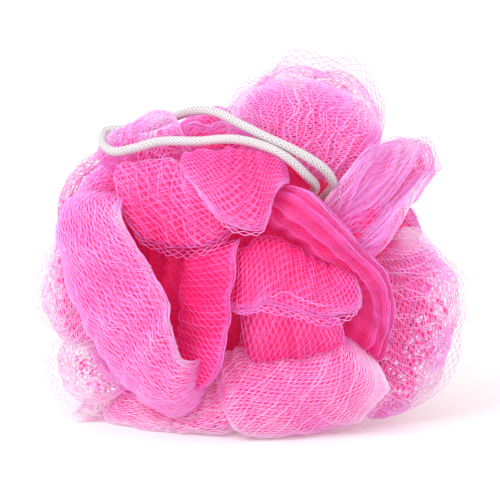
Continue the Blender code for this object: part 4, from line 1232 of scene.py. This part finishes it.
class SPONGE_OT_middle(Operator):
    """Adds the gathered middle that the folds grow from"""

    bl_idname = "sponge.middle"
    bl_label = "Gathered Middle"

    def execute(self, context):
        bpy.ops.object.select_all(action="DESELECT")
        segments = MIDDLE_GATHERS * MIDDLE_GATHER_SIDES
        bpy.ops.mesh.primitive_uv_sphere_add(segments=segments, ring_count=MIDDLE_RINGS, radius=1.0)
        middle = context.object
        middle.name = "gathered_middle"
        mesh = middle.data
        unit = np.empty(len(mesh.vertices) * 3)
        mesh.vertices.foreach_get("co", unit)
        unit = unit.reshape(-1, 3)
        angle = np.arctan2(unit[:, 1], unit[:, 0]) + MIDDLE_GATHER_SLANT * unit[:, 2]
        flat = np.linalg.norm(unit[:, :2], axis=1)
        ripple = 1 + MIDDLE_GATHER_DEPTH * flat * np.cos(MIDDLE_GATHERS * angle)
        turned = np.array(waist_frame().to_3x3())
        verts = to_size(unit * ripple[:, None] @ turned.T * BULK_REACH / 100)
        mesh.vertices.foreach_set("co", verts.ravel())
        for key, value in MIDDLE_LOOK.items():
            mesh.attributes.new(key, "FLOAT", "POINT").data.foreach_set("value", np.full(len(verts), value))
        layer = mesh.uv_layers[0]
        layer.name = "net_lay"
        uvs = np.empty(len(layer.data) * 2)
        layer.data.foreach_get("uv", uvs)
        layer.data.foreach_set("uv", (uvs.reshape(-1, 2) * MIDDLE_NET_SIZE).ravel())
        mesh.shade_smooth()
        give(middle, bpy.data.materials["net_layers"])
        return {"FINISHED"}


class SPONGE_OT_layers(Operator):
    """Adds the layers of net under each fold's strands"""

    bl_idname = "sponge.layers"
    bl_label = "Net Layers"

    def execute(self, context):
        line = cord_line()
        material = layer_material(context.scene.sponge_net)
        for name, folds in (("layers_front", FRONT_FOLDS), ("layers_back", spread_folds())):
            layers = layers_object(name, folds, line)
            give(layers, material)
        return {"FINISHED"}


class SPONGE_OT_strands(Operator):
    """Adds the net's strands over every fold"""

    bl_idname = "sponge.strands"
    bl_label = "Net Strands"

    def execute(self, context):
        line = cord_line()
        material = strand_material(context.scene.sponge_net)
        folds = [*FRONT_FOLDS, *spread_folds()]
        dice = random.Random(NET_SEED)
        groups = {}
        for number, fold in enumerate(folds):
            surface = Surface(fold, FOLD_THICKNESS, NET_ROWS, NET_COLUMNS)
            runs = net_strands(fold, surface, line, dice)
            groups.setdefault(number * NET_PIECES // len(folds), []).extend(runs)
        for number, runs in groups.items():
            net = strands_mesh(f"net_strands_{number + 1}", runs)
            give(net, material)
            if number == 0:
                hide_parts("gathered_net")
        return {"FINISHED"}


class SPONGE_OT_stage(Operator):
    """Adds the floor, the lamps and the camera"""

    bl_idname = "sponge.stage"
    bl_label = "Studio"

    def execute(self, context):
        settings = context.scene.sponge_stage
        bpy.ops.object.select_all(action="DESELECT")
        bpy.ops.mesh.primitive_plane_add(size=FLOOR_SIZE, location=(0, 0, 0))
        floor = context.object
        floor.name = "studio_floor"
        bpy.ops.object.mode_set(mode="EDIT")
        bpy.ops.mesh.select_all(action="DESELECT")
        bpy.ops.object.mode_set(mode="OBJECT")
        for edge in floor.data.edges:
            edge.select = all(floor.data.vertices[v].co.y > 0 for v in edge.vertices)
        bpy.ops.object.mode_set(mode="EDIT")
        bpy.ops.mesh.select_mode(type="EDGE")
        bpy.ops.mesh.extrude_region_move(TRANSFORM_OT_translate={"value": (0, 0, WALL_HEIGHT)})
        bpy.ops.object.mode_set(mode="OBJECT")
        sweep = floor.modifiers.new("sweep", "BEVEL")
        sweep.width = SWEEP_WIDTH
        sweep.segments = SWEEP_STEPS
        floor.data.materials.append(floor_material(settings.floor, settings.lift))
        world = bpy.data.worlds.new("studio_light")
        world.use_nodes = True
        background = world.node_tree.nodes["Background"]
        background.inputs["Strength"].default_value = settings.world
        background.inputs["Color"].default_value = (1.0, 1.0, 1.0, 1.0)
        context.scene.world = world
        for (name, size, place), power in zip(LAMPS, (settings.key, settings.fill)):
            lamp = bpy.data.lights.new(name, "AREA")
            lamp.energy = power
            lamp.size = size
            holder = bpy.data.objects.new(name, lamp)
            holder.location = place
            aim = Vector(LAMP_POINT) - holder.location
            holder.rotation_euler = aim.to_track_quat("-Z", "Y").to_euler()
            context.scene.collection.objects.link(holder)
        lens = bpy.data.cameras.new("camera")
        lens.lens = lens.sensor_width * settings.distance / settings.view_width
        camera = bpy.data.objects.new("camera", lens)
        context.scene.collection.objects.link(camera)
        back = Vector((0, -math.cos(settings.elevation), math.sin(settings.elevation)))
        camera.location = Vector(VIEW_POINT) + back * settings.distance
        camera.rotation_euler = (-back).to_track_quat("-Z", "Y").to_euler()
        context.scene.camera = camera
        context.scene.view_settings.view_transform = "Standard"
        return {"FINISHED"}


class SPONGE_PT_panel(Panel):
    """The sponge's pieces, in the order in which they are made"""

    bl_idname = "SPONGE_PT_panel"
    bl_label = "Bath Sponge"
    bl_space_type = "VIEW_3D"
    bl_region_type = "UI"
    bl_category = "Bath Sponge"

    def draw(self, context):
        for step in STEPS:
            self.layout.operator(step.bl_idname)
        for group in (context.scene.sponge_net, context.scene.sponge_cord, context.scene.sponge_stage):
            for key in group.bl_rna.properties.keys():
                if key not in ("rna_type", "name"):
                    self.layout.prop(group, key)


STEPS = (
    SPONGE_OT_stage,
    SPONGE_OT_cord,
    SPONGE_OT_waist,
    SPONGE_OT_layers,
    SPONGE_OT_middle,
    SPONGE_OT_strands,
)
CLASSES = (NetSettings, CordSettings, StageSettings, *STEPS, SPONGE_PT_panel)


def register():
    for item in CLASSES:
        bpy.utils.register_class(item)
    bpy.types.Scene.sponge_net = PointerProperty(type=NetSettings)
    bpy.types.Scene.sponge_cord = PointerProperty(type=CordSettings)
    bpy.types.Scene.sponge_stage = PointerProperty(type=StageSettings)


def unregister():
    del bpy.types.Scene.sponge_stage
    del bpy.types.Scene.sponge_cord
    del bpy.types.Scene.sponge_net
    for item in reversed(CLASSES):
        bpy.utils.unregister_class(item)


def main():
    register()
    bpy.ops.sponge.stage()
    bpy.ops.sponge.cord()
    bpy.ops.sponge.waist()
    bpy.ops.sponge.layers()
    bpy.ops.sponge.middle()
    bpy.ops.sponge.strands()


if __name__ == "__main__":
    main()
